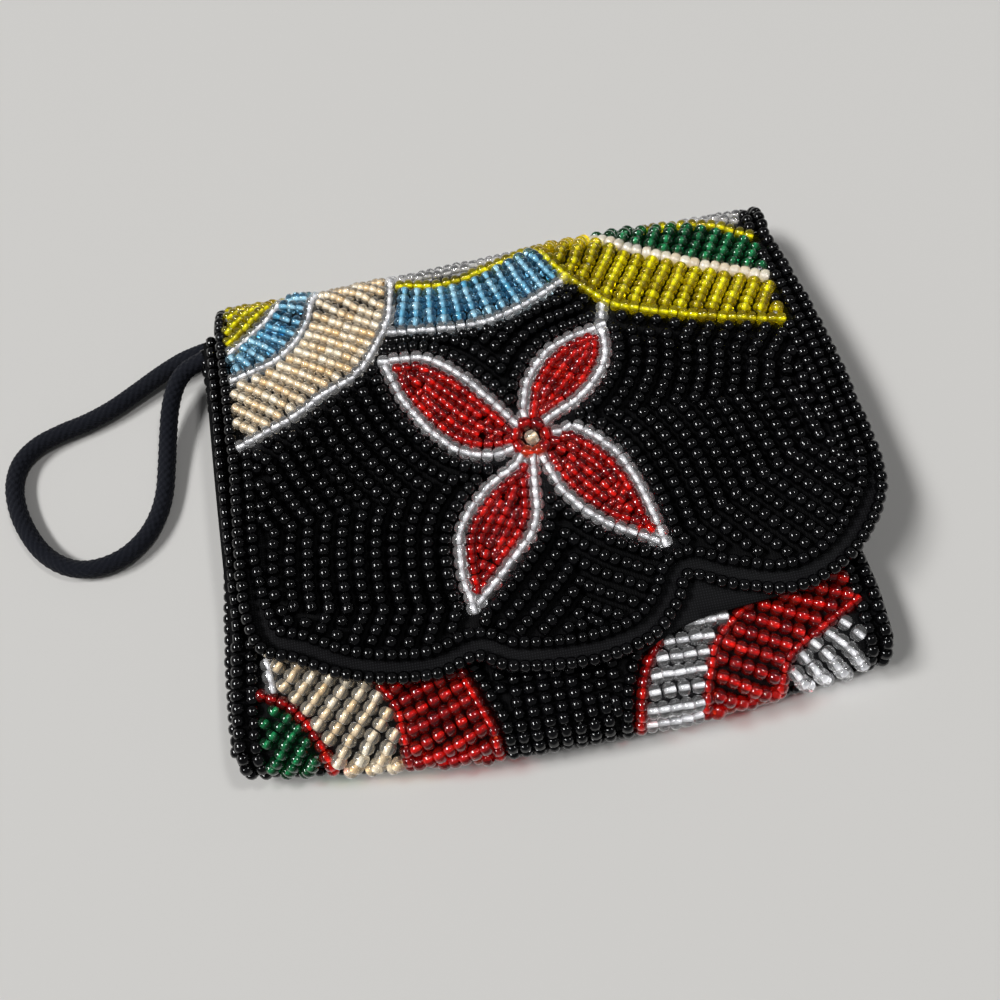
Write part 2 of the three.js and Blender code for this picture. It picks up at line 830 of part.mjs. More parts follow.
const sideSeat = clothHalfWidth + seatGap;
for (const [name, side] of [["left_edge_beads", -1], ["right_edge_beads", 1]]) {
  const outline = [[0, rowStart], ...rowSection(), [0, rowStart + rowCount * rowPitch]];
  const shape = new THREE.Shape(outline.map(([out, z]) => new THREE.Vector2(side * (sideSeat + out), z)));
  const depth = mouthLine + 2 - bottomLine;
  const geometry = new THREE.ExtrudeGeometry(shape, { depth, bevelEnabled: false });
  geometry.rotateX(Math.PI / 2).translate(0, mouthLine + 2, 0);
  addNode(name, solidOf(geometry), black);
}

const bottomRows = 2;
const bottomFrom = Math.PI + foldEnd;
const bottomTo = 1.42 * Math.PI;
const bottomOuter = [];
for (let row = 0; row < bottomRows; row += 1) {
  const step = (bottomTo - bottomFrom) / bottomRows;
  const start = bottomFrom + row * step;
  bottomOuter.push(rimPoint(bottomCentre, bottomSeat + laneValley, start));
  bottomOuter.push(rimPoint(bottomCentre, bottomSeat + beadHeight, start + 0.3 * step));
  bottomOuter.push(rimPoint(bottomCentre, bottomSeat + beadHeight, start + 0.7 * step));
}
bottomOuter.push(rimPoint(bottomCentre, bottomSeat + laneValley, bottomTo));
const bottomInner = arc(bottomCentre, bottomSeat, bottomTo, bottomFrom, 4);
addNode(
  "bottom_edge_beads",
  runAcross([...bottomOuter, ...bottomInner], -clothHalfWidth + 0.5, clothHalfWidth - 0.5, 6),
  black,
);

// Wrist cord, a loop with both ends in the left seam
const cordRoute = [
  [-55.5, 35.4, 3.4],
  [-58.7, 34.6, 3.2],
  [-63, 32.9, 2.7],
  [-67.5, 30.7, 2.2],
  [-72.5, 28.2, 1.9],
  [-77.4, 26.4, 1.75],
  [-82.5, 25.1, 1.75],
  [-87, 23.4, 1.75],
  [-90.2, 20.6, 1.75],
  [-91.6, 16.6, 1.75],
  [-91.3, 12, 1.75],
  [-89.8, 7.4, 1.75],
  [-87.3, 3, 1.75],
  [-84, -0.2, 1.75],
  [-80.2, -1.9, 1.75],
  [-76, -2, 1.75],
  [-71.8, -0.7, 1.75],
  [-68.2, 2, 1.75],
  [-65.7, 5.6, 1.75],
  [-64.2, 9.8, 1.8],
  [-63.3, 14.8, 2.2],
  [-62.4, 20, 3],
  [-61.2, 25, 4.2],
  [-59.5, 28.7, 5.3],
  [-57.6, 30.8, 5.9],
  [-55.6, 31.8, 6.2],
];
const cordPoints = cordRoute.map((point) => new THREE.Vector3(...point));
addNode("wrist_cord", tube(cordPoints, cordDiameter / 2, 8, 2 * cordDiameter), braid);

// Origin at the middle of the underside, the cord aside
const bounds = new THREE.Box3();
for (const mesh of purse.children) {
  if (mesh.name !== "wrist_cord") {
    bounds.expandByObject(mesh);
  }
}
const middle = bounds.getCenter(new THREE.Vector3());
for (const mesh of purse.children) {
  mesh.position.set(-middle.x, -middle.y, -bounds.min.z);
}

export default purse;
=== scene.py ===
"""Looks of a beaded coin purse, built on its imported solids. Drawing sizes are in millimetres."""
import math
from collections import namedtuple

import bpy
import numpy as np
from mathutils import Matrix, Vector
from mathutils.bvhtree import BVHTree
from mathutils.geometry import delaunay_2d_cdt


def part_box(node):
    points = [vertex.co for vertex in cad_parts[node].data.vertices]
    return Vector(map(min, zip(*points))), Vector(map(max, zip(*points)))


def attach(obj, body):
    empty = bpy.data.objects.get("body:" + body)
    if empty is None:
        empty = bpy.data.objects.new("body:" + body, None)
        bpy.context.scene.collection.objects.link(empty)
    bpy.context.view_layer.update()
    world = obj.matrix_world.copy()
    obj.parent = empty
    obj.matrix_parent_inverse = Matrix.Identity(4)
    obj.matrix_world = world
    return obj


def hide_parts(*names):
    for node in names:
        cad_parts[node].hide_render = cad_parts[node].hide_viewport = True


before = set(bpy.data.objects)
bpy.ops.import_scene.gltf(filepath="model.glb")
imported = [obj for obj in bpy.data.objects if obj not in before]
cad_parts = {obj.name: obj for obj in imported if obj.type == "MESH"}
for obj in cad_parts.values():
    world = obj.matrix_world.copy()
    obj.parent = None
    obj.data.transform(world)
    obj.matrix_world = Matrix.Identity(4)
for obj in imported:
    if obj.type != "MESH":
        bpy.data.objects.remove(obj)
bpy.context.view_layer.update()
millimetre = 0.001
chance = np.random.default_rng(11)

# Sizes shared with the solids
cloth_half_width = 52.5
cloth_thickness = 0.6
lining_thickness = 0.4
lining_gap = 0.25
front_rise = 8.2
fold_line = 36.5
mouth_line = 34.0
bottom_line = -38.0
bow_start = -22.0
bow_depth = 4.5
back_face = 2.15
front_to_flap = 3.1
bare_strip = 2.7
second_row = 2.3
cord_diameter = 3.3

flap_middle = front_rise + 0.1 + front_to_flap + cloth_thickness / 2
back_middle = back_face + cloth_thickness / 2
fold_radius = (flap_middle - back_middle) / 2
fold_height = (flap_middle + back_middle) / 2
fold_face = fold_radius + cloth_thickness / 2
bottom_radius = (front_rise + cloth_thickness / 2 - back_middle) / 2
bottom_height = back_middle + bottom_radius
bottom_face = bottom_radius + cloth_thickness / 2

# How far the soft purse departs from its solids
crown_rise = 1.15
flap_lift = 1.7
ripple_rise = 0.22
fold_drop_left = 3.0
fold_drop_right = 0.9
left_corner_spread = 1.1
right_corner_spread = 1.7
seam_drawn_in = 2.0

# The drawing's origin in the frame, from the cloth's own box
cloth_low, cloth_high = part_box("outer_cloth")
drawing_origin = np.array(
    [
        cloth_low.x / millimetre + cloth_half_width,
        cloth_high.y / millimetre - fold_line - fold_face,
        0.0,
    ]
)


def in_frame(points):
    return (np.asarray(points, float) + drawing_origin) * millimetre


# Soft shape of the purse
def ease(value):
    held = np.clip(value, 0.0, 1.0)
    return held * held * (3 - 2 * held)


def crown(y):
    share = np.clip((y - bow_start) / (fold_line + 3 - bow_start), 0.0, 1.0)
    return crown_rise * np.sin(np.pi * share)


def bow(x):
    return bow_depth * np.clip(1 - (x / cloth_half_width) ** 2, 0.0, 1.0)


def bowed(x, y):
    return y - bow(x) * np.clip((bow_start - y) / (bow_start - bottom_line), 0.0, 1.0)


def unbowed(x, y):
    share = bow(x) / (bow_start - bottom_line)
    level = (y + share * bow_start) / (1 + share)
    return np.where(y > bow_start, y, np.where(level > bottom_line, level, y + bow(x)))


def lift(x, y):
    """The flap stands off a little at its loose lower right."""
    corner = flap_lift * ease((x - 18) / 38) * ease((2 - y) / 26)
    ripple = ripple_rise * np.sin(0.14 * x + 0.6) * np.sin(0.17 * y - 0.4) * ease((30 - y) / 20)
    return corner + ripple


def flap_face(y):
    return front_rise + crown(y) + front_to_flap + cloth_thickness


def fold_drop(x, run):
    """The fold isn't quite square to the sides, and is lowest at the left."""
    past_fold = run - fold_line - np.pi * fold_face
    across = fold_drop_right + (fold_drop_left - fold_drop_right) * ease((30 - x) / 78)
    return across * ease((run - 20) / 17) * ease((30 - past_fold) / 30)


def on_wrap(x, run, rise):
    """Outer face of the flap, round the fold and down the back."""
    half_turn = np.pi * fold_face
    level = np.minimum(run, fold_line)
    turn = np.clip((run - fold_line) / fold_face, 0.0, np.pi)
    beyond = np.maximum(run - fold_line - half_turn, 0.0)
    flat_z = flap_face(level) + lift(x, level) + rise
    round_z = fold_height + (fold_face + rise) * np.cos(turn)
    settle = ease((run - fold_line + 6) / 6)
    y = level + (fold_face + rise) * np.sin(turn) - beyond
    z = np.where(run < fold_line, flat_z + settle * (fold_height + fold_face + rise - flat_z), round_z)
    y = np.where(beyond > 0, bowed(x, y), y) - fold_drop(x, run)
    return np.stack([x, y, z], axis=-1)


def corner_spread(x, y):
    """The lower corners of the front spread a little, the right one more."""
    most = np.where(x < 0, -left_corner_spread, right_corner_spread)
    return most * ease((np.abs(x) - 38) / 15) * ease((-18 - y) / 16)


def on_front(x, run, rise):
    """Outer face of the pocket's front, from the mouth down and round the bottom."""
    level = np.maximum(run, bottom_line)
    turn = np.maximum(bottom_line - run, 0.0) / bottom_face
    y = level - (bottom_face + rise) * np.sin(turn)
    flat_z = front_rise + crown(level) + cloth_thickness + rise
    round_z = bottom_height + (bottom_face + rise) * np.cos(turn)
    spread_x = x + corner_spread(x, y) * np.cos(np.minimum(turn, np.pi) / 2)
    return np.stack([spread_x, bowed(x, y), np.where(run < bottom_line, round_z, flat_z)], axis=-1)


def front_run(points):
    """Plan points on the front as points along its run."""
    x, y = np.array(points, float).T
    level = unbowed(x, y)
    depth = np.clip((bottom_line - level) / (bottom_face + 1), 0.0, 0.98)
    turned = bottom_line - bottom_face * np.arcsin(depth)
    return np.stack([x, np.where(level > bottom_line, level, turned)], axis=1)


def seam_shift(side, y, z):
    """The side seams are drawn in between their ends, and follow the corners of the front."""
    height = np.clip((z - back_face) / (front_rise - back_face), 0.0, 1.0)
    drawn_end = bow_start if side < 0 else bottom_line
    length = np.clip((y - drawn_end) / (mouth_line + 2 - drawn_end), 0.0, 1.0)
    drawn_in = seam_drawn_in * np.sin(np.pi * length)
    spread = side * corner_spread(side * cloth_half_width, y)
    return spread * height**3 - drawn_in * np.sin(np.pi * height)


def on_side(side):
    """A side seam, along its length and height."""

    def place(y, z, rise):
        return np.stack([side * (cloth_half_width + rise + seam_shift(side, y, z)), y, z], axis=-1)

    return place


# Curves
def smooth(points, closed=False):
    """A dense smooth curve through the points."""
    knots = np.array(points, float)
    if closed:
        knots = np.vstack([knots[-1:], knots, knots[:2]])
    else:
        knots = np.vstack([2 * knots[:1] - knots[1:2], knots, 2 * knots[-1:] - knots[-2:-1]])
    share = np.linspace(0, 1, 24, endpoint=False)[:, None]
    pieces = []
    for a, b, c, d in zip(knots, knots[1:], knots[2:], knots[3:]):
        bend = (2 * a - 5 * b + 4 * c - d) * share**2 + (3 * b - a - 3 * c + d) * share**3
        pieces.append(0.5 * (2 * b + (c - a) * share + bend))
    return np.vstack(pieces + [knots[-2:-1]])


def reach_along(points):
    steps = np.linalg.norm(np.diff(points, axis=0), axis=1)
    return np.concatenate([[0.0], np.cumsum(steps)])


def sample(points, reach, wanted):
    return np.stack([np.interp(wanted, reach, column) for column in points.T], axis=1)


def spaced(points, count):
    reach = reach_along(points)
    return sample(points, reach, np.linspace(0, reach[-1], count))


def offset(points, distance):
    """The curve moved to its left by the distance."""
    along = np.gradient(points, axis=0)
    along /= np.linalg.norm(along, axis=1, keepdims=True)
    return points + distance * np.stack([-along[:, 1], along[:, 0]], axis=1)


def ladder(one, other, pitch):
    """Lanes across the band between two curves."""
    count = max(2, round((reach_along(one)[-1] + reach_along(other)[-1]) / 2 / pitch))
    share = (np.arange(count) + 0.5) / count
    starts = sample(one, reach_along(one), share * reach_along(one)[-1])
    ends = sample(other, reach_along(other), share * reach_along(other)[-1])
    return [np.stack(pair) for pair in zip(starts, ends)]


def hatch(outline, degrees, pitch):
    """Parallel lanes that fill an outline."""
    along = np.array([math.cos(math.radians(degrees)), math.sin(math.radians(degrees))])
    across = np.array([-along[1], along[0]])
    corners = np.array(outline, float)
    side = corners @ across
    lanes = []
    for level in np.arange(side.min() + pitch / 2, side.max(), pitch):
        cuts = []
        for start, end in zip(corners, np.roll(corners, -1, axis=0)):
            low, high = start @ across, end @ across
            if (low - level) * (high - level) < 0:
                cuts.append((start + (end - start) * (level - low) / (high - low)) @ along)
        cuts.sort()
        for first, last in zip(cuts[::2], cuts[1::2]):
            lanes.append(np.stack([first * along + level * across, last * along + level * across]))
    return lanes


# Beads
Bead = namedtuple("Bead", "look diameter pitch")
black_bead = Bead("black_beads", 2.25, 1.92)
small_bead = Bead("black_beads", 2.0, 1.9)
back_bead = Bead("black_beads", 2.0, 2.2)
edge_bead = Bead("black_beads", 2.15, 1.85)
clear_bead = Bead("clear_beads", 2.3, 1.7)
faint_bead = Bead("faint_beads", 2.2, 1.7)
petal_clear_bead = Bead("clear_beads", 2.5, 1.95)
front_clear_bead = Bead("clear_beads", 2.65, 2.05)
yellow_bead = Bead("yellow_beads", 2.45, 1.4)
yellow_line_bead = Bead("yellow_beads", 2.4, 1.7)
blue_bead = Bead("blue_beads", 2.6, 1.5)
cream_bead = Bead("cream_beads", 2.2, 1.55)
front_cream_bead = Bead("cream_beads", 2.65, 2.05)
green_bead = Bead("green_beads", 2.4, 1.6)
pearl_bead = Bead("pearl_beads", 2.25, 1.8)
red_bead = Bead("red_beads", 2.25, 1.7)
red_fill_bead = Bead("red_beads", 1.75, 1.5)
front_red_bead = Bead("red_beads", 2.25, 1.85)
block_red_bead = Bead("red_beads", 2.6, 2.0)
ring_bead = Bead("red_beads", 2.5, 2.3)
orange_bead = Bead("orange_beads", 2.5, 2.3)
eye_bead = Bead("cream_beads", 2.7, 2.0)
orange_row_bead = Bead("orange_beads", 2.2, 2.0)

strung = {}
all_centres = []


def crowded(points, room):
    """Which points lie within reach of a bead that is already on."""
    found = np.zeros(len(points), bool)
    low = points.min(axis=0) - room
    high = points.max(axis=0) + room
    for centres in all_centres:
        near = (centres > low).all(axis=1) & (centres < high).all(axis=1)
        if near.any():
            apart = np.linalg.norm(points[:, None, :] - centres[near][None, :, :], axis=2)
            found |= (apart < room).any(axis=1)
    return found


def stretches(free, reach):
    """Start and end of each stretch of a path that is free."""
    edges = np.flatnonzero(np.diff(np.concatenate([[0], free.astype(int), [0]])))
    return [(reach[start], reach[end - 1]) for start, end in zip(edges[::2], edges[1::2])]


def string(node, surface, path, bead, arch=0.0, room=0.0, inside=None):
    """Threads beads along the free stretches of a path on a surface, for the node's piece."""
    path = np.asarray(path, float)
    fine = spaced(path, max(8, int(reach_along(path)[-1] / 0.2)))
    feet = surface(fine[:, 0], fine[:, 1], 0.0)
    up = surface(fine[:, 0], fine[:, 1], 1.0) - feet
    share = np.linspace(0, 1, len(fine))[:, None]
    line = feet + up * (bead.diameter / 2 + arch * np.sin(np.pi * share))
    reach = reach_along(line)
    free = ~crowded(line, room)
    if inside is not None:
        plan = line[:, :2].copy()
        if surface is on_wrap:
            plan[:, 1] += fold_drop(fine[:, 0], fine[:, 1])
        free &= inside(plan)
    wanted = []
    for start, end in stretches(free, reach):
        gaps = round((end - start) / bead.pitch)
        wanted.append(np.linspace(start, end, gaps + 1) if gaps else np.array([(start + end) / 2]))
    if not wanted:
        return
    wanted = np.concatenate(wanted)
    centres = sample(line, reach, wanted)
    ahead = sample(line, reach, np.minimum(wanted + 0.2, reach[-1]))
    axes = ahead - sample(line, reach, np.maximum(wanted - 0.2, 0))
    strung.setdefault((node, bead.look), []).append((bead, centres, axes, sample(up, reach, wanted)))
    all_centres.append(centres)


def strings(node, surface, lanes, bead, **options):
    for lane in lanes:
        string(node, surface, lane, bead, **options)


def over_solid(node):
    """A test for plan points that lie over or under the node's solid."""
    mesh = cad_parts[node].data
    corners = [v.co for v in mesh.vertices]
    tree = BVHTree.FromPolygons(corners, [p.vertices for p in mesh.polygons])

    def test(plan):
        found = []
        for x, y in (plan + drawing_origin[:2]) * millimetre:
            found.append(tree.ray_cast(Vector((x, y, 1.0)), Vector((0, 0, -1)))[0] is not None)
        return np.array(found, bool)

    return test


# Rows of beads along curves of the flap
fold_top = 44.2
clear_one = smooth([(-46.6, 31.4), (-42.5, 35), (-38.6, 38.8), (-36, fold_top)])
clear_two = smooth(
    [(-46.6, 23.9), (-43, 25.2), (-38.5, 27.4), (-35, 31.4), (-32.3, 36.7), (-30.4, fold_top)]
)
clear_three = smooth(
    [
        (-46.4, 10.8),
        (-38.3, 13.8),
        (-31.2, 17.8),
        (-25.4, 20.4),
        (-21.8, 25),
        (-18.2, 33),
        (-16.4, fold_top),
    ]
)
clear_blue = smooth([(-18, 28.6), (-10.5, 27.4), (-2, 27), (4.3, 28.5), (11.6, 32), (13.8, 33.4)])
yellow_top = smooth([(-15.4, 38.6), (-9, 37.2), (-3, 37.5), (2, 38.8), (6.4, 40.2), (8.6, 41.8)])
yellow_border = smooth(
    [
        (8.6, fold_top),
        (12.4, 37),
        (15.4, 32.6),
        (18.4, 28.7),
        (21.4, 25.6),
        (26, 23.5),
        (34, 20.7),
        (42.4, 18.4),
        (49.2, 16.7),
    ]
)
pearl_curve = smooth([(17.6, fold_top), (24.8, 38), (32.9, 33.7), (39.4, 30.2), (48.6, 26)])
green_top = smooth([(30.5, 41.5), (36, 40.4), (42.6, 38.2), (48, 35.3)])

string("clear_line_1", on_wrap, clear_one, clear_bead)
string("clear_line_2", on_wrap, clear_two, clear_bead)
string("clear_line_3", on_wrap, clear_three, clear_bead)
string("clear_line_4", on_wrap, clear_blue, clear_bead)
string("yellow_line_top", on_wrap, yellow_top, yellow_line_bead)
string("yellow_line_border", on_wrap, yellow_border, yellow_line_bead)
string("pearl_line", on_wrap, pearl_curve, pearl_bead)
string("yellow_line_green", on_wrap, green_top, yellow_line_bead)

# Flower: an eye, a ring and four petals, each listed from its base round its tip and back
eye = np.array([2.6, 3.1])
ring_radius = 2.7
petals = {
    "petal_nw": (
        [(-0.4, 7.2), (-6.5, 15.8), (-13, 21.2), (-20.3, 22)],
        [(-2.1, 1.3), (-6, 1.6), (-11.6, 4.6), (-17.5, 13.4), (-20.3, 22)],
    ),
    "petal_ne": (
        [(2, 8.1), (4, 13.6), (9.3, 19), (18.2, 21.6)],
        [(6.4, 6.2), (12.9, 9.4), (17.7, 15.2), (18.2, 21.6)],
    ),
    "petal_se": (
        [(7.7, 3.4), (10.6, 3.6), (16.4, -2.3), (19.5, -10.9), (20.8, -18.6)],
        [(4.3, -1.9), (6.4, -7.2), (12, -13.4), (20.8, -18.6)],
    ),
    "petal_sw": (
        [(-0.6, -1), (-6.4, -4.5), (-11.6, -10.4), (-12.6, -17.5), (-11.8, -23.8)],
        [(2, -2), (0.6, -11.5), (-5.2, -18), (-11.8, -23.8)],
    ),
}
petal_pitch = 1.95
petal_margin = 2.0
petal_room = 1.6
petal_fill = 1.4
gap_pitch = 0.5
gap_room = 1.3
outline_start = 0.35
lane_start = 0.2
for first, last, bead in ((-46, 214, ring_bead), (-116, -65, orange_bead)):
    turn = np.radians(np.arange(first, last, 4))
    arc = eye + ring_radius * np.stack([np.cos(turn), np.sin(turn)], axis=1)
    string("flower_ring", on_wrap, arc, bead)
string("flower_eye", on_wrap, [eye - (0.2, 0.1), eye + (0.2, 0.1)], eye_bead)
for name, (left, right) in petals.items():
    outer = spaced(smooth(left), 60)
    inner = spaced(smooth(right), 60)
    for side in (outer, inner):
        start = side[0] + outline_start * (eye - side[0])
        string(name + "_outline", on_wrap, np.vstack([start, side]), petal_clear_bead, room=1.55)
    width = np.linalg.norm(outer - inner, axis=1)
    lanes = int(round((width.max() - 2 * petal_margin) / petal_pitch)) + 1
    narrow = np.clip(width, 2 * petal_margin, None)
    edges_first = [(lane, petal_room) for lane in (0, lanes - 1, *range(1, lanes - 1))]
    between = [(lane + 0.5, petal_fill) for lane in range(lanes - 1)]
    for lane, room in edges_first + between:
        across = petal_margin + (narrow - 2 * petal_margin) * lane / (lanes - 1)
        path = outer + (inner - outer) * (across / narrow)[:, None]
        path = np.vstack([path[:1] + (eye - path[:1]) * lane_start, path])
        string(name, on_wrap, path, red_bead, room=room)
    gaps = hatch(np.vstack([outer, inner[::-1]]), 45, gap_pitch)
    strings(name, on_wrap, gaps, red_fill_bead, room=gap_room)
string("petal_ne_outline", on_wrap, [(18.6, 22.6), (19.2, 25.2)], petal_clear_bead, room=1.5)

# Colour bands at the top of the flap
left_edge = -46.6
strings(
    "left_blue_band",
    on_wrap,
    ladder(np.vstack([[(left_edge, 28.4)], clear_one]), clear_two, 2.45),
    blue_bead,
    arch=0.25,
    room=1.65,
)
cream_outline = np.vstack([clear_two, clear_three[::-1]])
strings("cream_band", on_wrap, hatch(cream_outline, -38, 2.2), cream_bead, arch=0.2, room=1.7)
strings("top_blue_band", on_wrap, ladder(yellow_top, clear_blue, 2.45), blue_bead, arch=0.25, room=1.65)
yellow_outline = np.vstack([yellow_border, [(48.8, 25.6)], pearl_curve[::-1]])
strings("yellow_band", on_wrap, hatch(yellow_outline, 58, 2.65), yellow_bead, arch=0.3, room=1.65)
green_outline = np.vstack(
    [pearl_curve, [(48.6, 27), (48.2, 34.8)], green_top[::-1], [(28.8, 44), (19, 44.6)]]
)
strings("green_band", on_wrap, hatch(green_outline, 56, 2.5), green_bead, arch=0.3, room=1.65)
for row in range(4):
    string(
        "corner_yellow_field",
        on_wrap,
        offset(clear_one, 2.0 * (row + 1)),
        yellow_bead,
        room=1.6,
        inside=over_solid("corner_yellow_field"),
    )

# Rows that go on over the fold, behind the top blue and the green bands
for row in (1, 2):
    string("flap_black_field_2", on_wrap, offset(yellow_top, 2.3 * row), faint_bead, room=1.5)
for row in (1, 2):
    string("flap_black_field_3", on_wrap, offset(green_top[30:-12], 2.2 * row), faint_bead, room=1.5)

# Edging and black ground of the flap
flap_edge = spaced(
    smooth(
        [
            (-48.3, 35.5),
            (-47.9, 8),
            (-48.2, -20.5),
            (-40.6, -27),
            (-30.8, -31.6),
            (-20, -33.1),
            (-12.4, -31.4),
            (-7.5, -33.9),
            (4.5, -35.3),
            (15, -33.4),
            (21, -28.2),
            (23.4, -24.4),
            (29.4, -27),
            (39, -29.6),
            (48, -26.9),
            (55.6, -19.4),
            (58, -11),
            (56.5, 5),
            (53.8, 21),
            (50.8, 35.5),
        ]
    ),
    400,
)
string("flap_edge_beads", on_wrap, flap_edge, edge_bead)
fold_left = -49.6
fold_right = 52.0
fold_round = fold_line + np.pi * fold_face
string("flap_black_field_4", on_wrap, [(-48.3, 36.6), (-48.6, fold_round - 1)], edge_bead, room=1.6)
string("flap_edge_beads", on_wrap, [(50.9, 36.6), (51.2, fold_round - 1)], edge_bead, room=1.6)

# A second row that leaves the cloth bare along the scallops, and a third along the right edge
bare_share = ease((-6 - flap_edge[:, 1:]) / 16)
bare_extra = bare_strip + edge_bead.diameter / 2 - second_row
inner_row = offset(flap_edge, second_row + bare_extra * bare_share)
inner_row = inner_row[(inner_row[:, 1] < 9) | (inner_row[:, 0] > 0)]
string("flap_edge_beads", on_wrap, inner_row, edge_bead, room=1.7)
right_row = offset(flap_edge[(flap_edge[:, 0] > 50) & (flap_edge[:, 1] > -8)], 2 * second_row)
string("flap_edge_beads", on_wrap, right_row, edge_bead, room=1.7)
string("flap_edge_beads", on_wrap, [(48.6, 36.6), (48.9, fold_round - 1)], edge_bead, room=1.6)

# Rows of the black ground echo the flower, each row a lane further out, then single beads fill the gaps
echo_start = 2.45
echo_pitch = 2.85
echo_rows = 18
petal_sides = []
for sides in petals.values():
    for side in sides:
        curve = smooth(side)
        beyond = curve[-1] + 60 * (curve[-1] - eye) / np.linalg.norm(curve[-1] - eye)
        petal_sides.append(spaced(np.vstack([curve, beyond]), 140))
flower_edge = np.vstack(petal_sides)
over_ground = over_solid("flap_black_field_1")


def echo_test(distance):
    """A test for points of the ground that are no nearer to the flower than the distance."""

    def test(plan):
        apart = np.linalg.norm(plan[:, None] - flower_edge[None], axis=2).min(axis=1)
        free = apart > distance - 0.12
        free[free] = over_ground(plan[free])
        return free

    return test


for shift, bead, room in ((0.0, black_bead, 1.9), (0.5, black_bead, 1.82), (0.7, small_bead, 1.68)):
    for row in range(echo_rows):
        distance = echo_start + (row + shift) * echo_pitch
        off_flower = echo_test(distance)
        for side in petal_sides:
            for way in (distance, -distance):
                path = offset(side, way)
                path = path[path[:, 1] < fold_line]
                if len(path) > 1:
                    string("flap_black_field_1", on_wrap, path, bead, room=room, inside=off_flower)

# Front below the flap
columns_left = -48.6
columns_right = 48.6
round_bottom = bottom_line - bottom_face * 1.42


def front_curve(points):
    """A smooth curve on the front through plan points."""
    return smooth(front_run(points))


def to_bottom(curve):
    return np.vstack([curve, [(curve[-1, 0], round_bottom)]])


red_one = front_curve(
    [(-47.6, -31), (-44.8, -32.7), (-42.6, -34.8), (-40.9, -37.6), (-39.6, -40.5), (-38.8, -43)]
)
red_two = front_curve([(17.8, -32.5), (14.6, -36.8), (13, -40.2), (12, -43.4), (11.5, -45.6)])
red_three = front_curve(
    [(33.8, -29.6), (29.1, -32.8), (25.9, -35.8), (24.3, -39.3), (23, -42.6), (22.4, -45)]
)
red_four = front_curve([(48.4, -32.8), (42.4, -36.5), (38.4, -38.8), (36, -41.2), (34.9, -43.6)])
block_left = to_bottom(front_curve([(-34.5, -26), (-29.6, -33.6), (-27.8, -37), (-27.2, -41)]))
block_right = front_curve([(-16.8, -26), (-14.4, -33.8), (-12.5, -38.9), (-11, -42.8)])
block_right = np.vstack([block_right, [(-10.8, round_bottom)]])

for number, curve in enumerate((red_one, red_two, red_three, red_four), 1):
    string(f"front_red_line_{number}", on_front, to_bottom(curve), front_red_bead)
string("front_red_block_left", on_front, offset(block_left, 1.0), front_red_bead)
string("front_red_block_left", on_front, offset(block_right, -1.0), front_red_bead)

side_columns = (
    ("front_black_field_2", -51.2),
    ("front_black_field_2", -48.9),
    ("front_black_field_1", 51.2),
    ("front_black_field_1", 48.9),
)
for name, x in side_columns:
    string(name, on_front, [(x, bow_start - 0.6), (x, round_bottom)], black_bead, room=1.5)

cream_corner = [(columns_left, bow_start), (columns_left, -31)]
front_fields = [
    (
        "front_green_corner",
        np.vstack([to_bottom(red_one), [(columns_left, round_bottom), (columns_left, -31)]]),
        48,
        2.1,
        green_bead,
    ),
    (
        "front_cream_field",
        np.vstack([to_bottom(red_one), block_left[::-1], cream_corner]),
        46,
        2.5,
        front_cream_bead,
    ),
    ("front_red_block_left", np.vstack([block_left, block_right[::-1]]), 18, 2.05, block_red_bead),
    (
        "front_clear_field",
        np.vstack([to_bottom(red_two), to_bottom(red_three)[::-1]]),
        -3,
        2.05,
        front_clear_bead,
    ),
    (
        "front_red_block_right",
        np.vstack([to_bottom(red_three), to_bottom(red_four)[::-1], [(columns_right, -27)]]),
        -28,
        2.3,
        block_red_bead,
    ),
    (
        "front_clear_corner",
        np.vstack([to_bottom(red_four), [(columns_right, round_bottom), (columns_right, -32.6)]]),
        -53,
        2.4,
        front_clear_bead,
    ),
]
string("front_cream_field", on_front, [(-46.4, -26), (-45.6, -30.4)], front_clear_bead, room=1.5)
for name, outline, degrees, pitch, bead in front_fields:
    strings(name, on_front, hatch(outline, degrees, pitch), bead, arch=0.2, room=1.7)

low_row = bottom_line - bottom_face * 1.5
orange_rows = (
    ("front_red_block_left", block_left, block_right),
    ("front_red_block_right", red_three, red_four),
)
for name, one, other in orange_rows:
    ends = [(one[-1, 0] + 1.0, low_row), (other[-1, 0] - 1.0, low_row)]
    string(name, on_front, ends, orange_row_bead, room=1.5)

string("front_black_field_1", on_front, offset(block_right, 1.3), black_bead, room=1.6)
string("front_black_field_1", on_front, offset(to_bottom(red_two), -2.2), black_bead, room=1.6)
for patch in (1, 2):
    name = f"front_black_field_{patch}"
    over_patch = over_solid(name)
    for step, bead, room in ((2.3, black_bead, 1.95), (0.6, small_bead, 1.8)):
        for x in np.arange(-46.6, 48, step):
            column = [(x, bow_start - 0.6), (x, round_bottom)]
            string(name, on_front, column, bead, room=room, inside=over_patch)
hidden_columns = np.arange(-51.0, 52, 3.0)
for x in hidden_columns:
    string("front_upper_field", on_front, [(x, mouth_line - 0.4), (x, bow_start + 0.8)], back_bead)

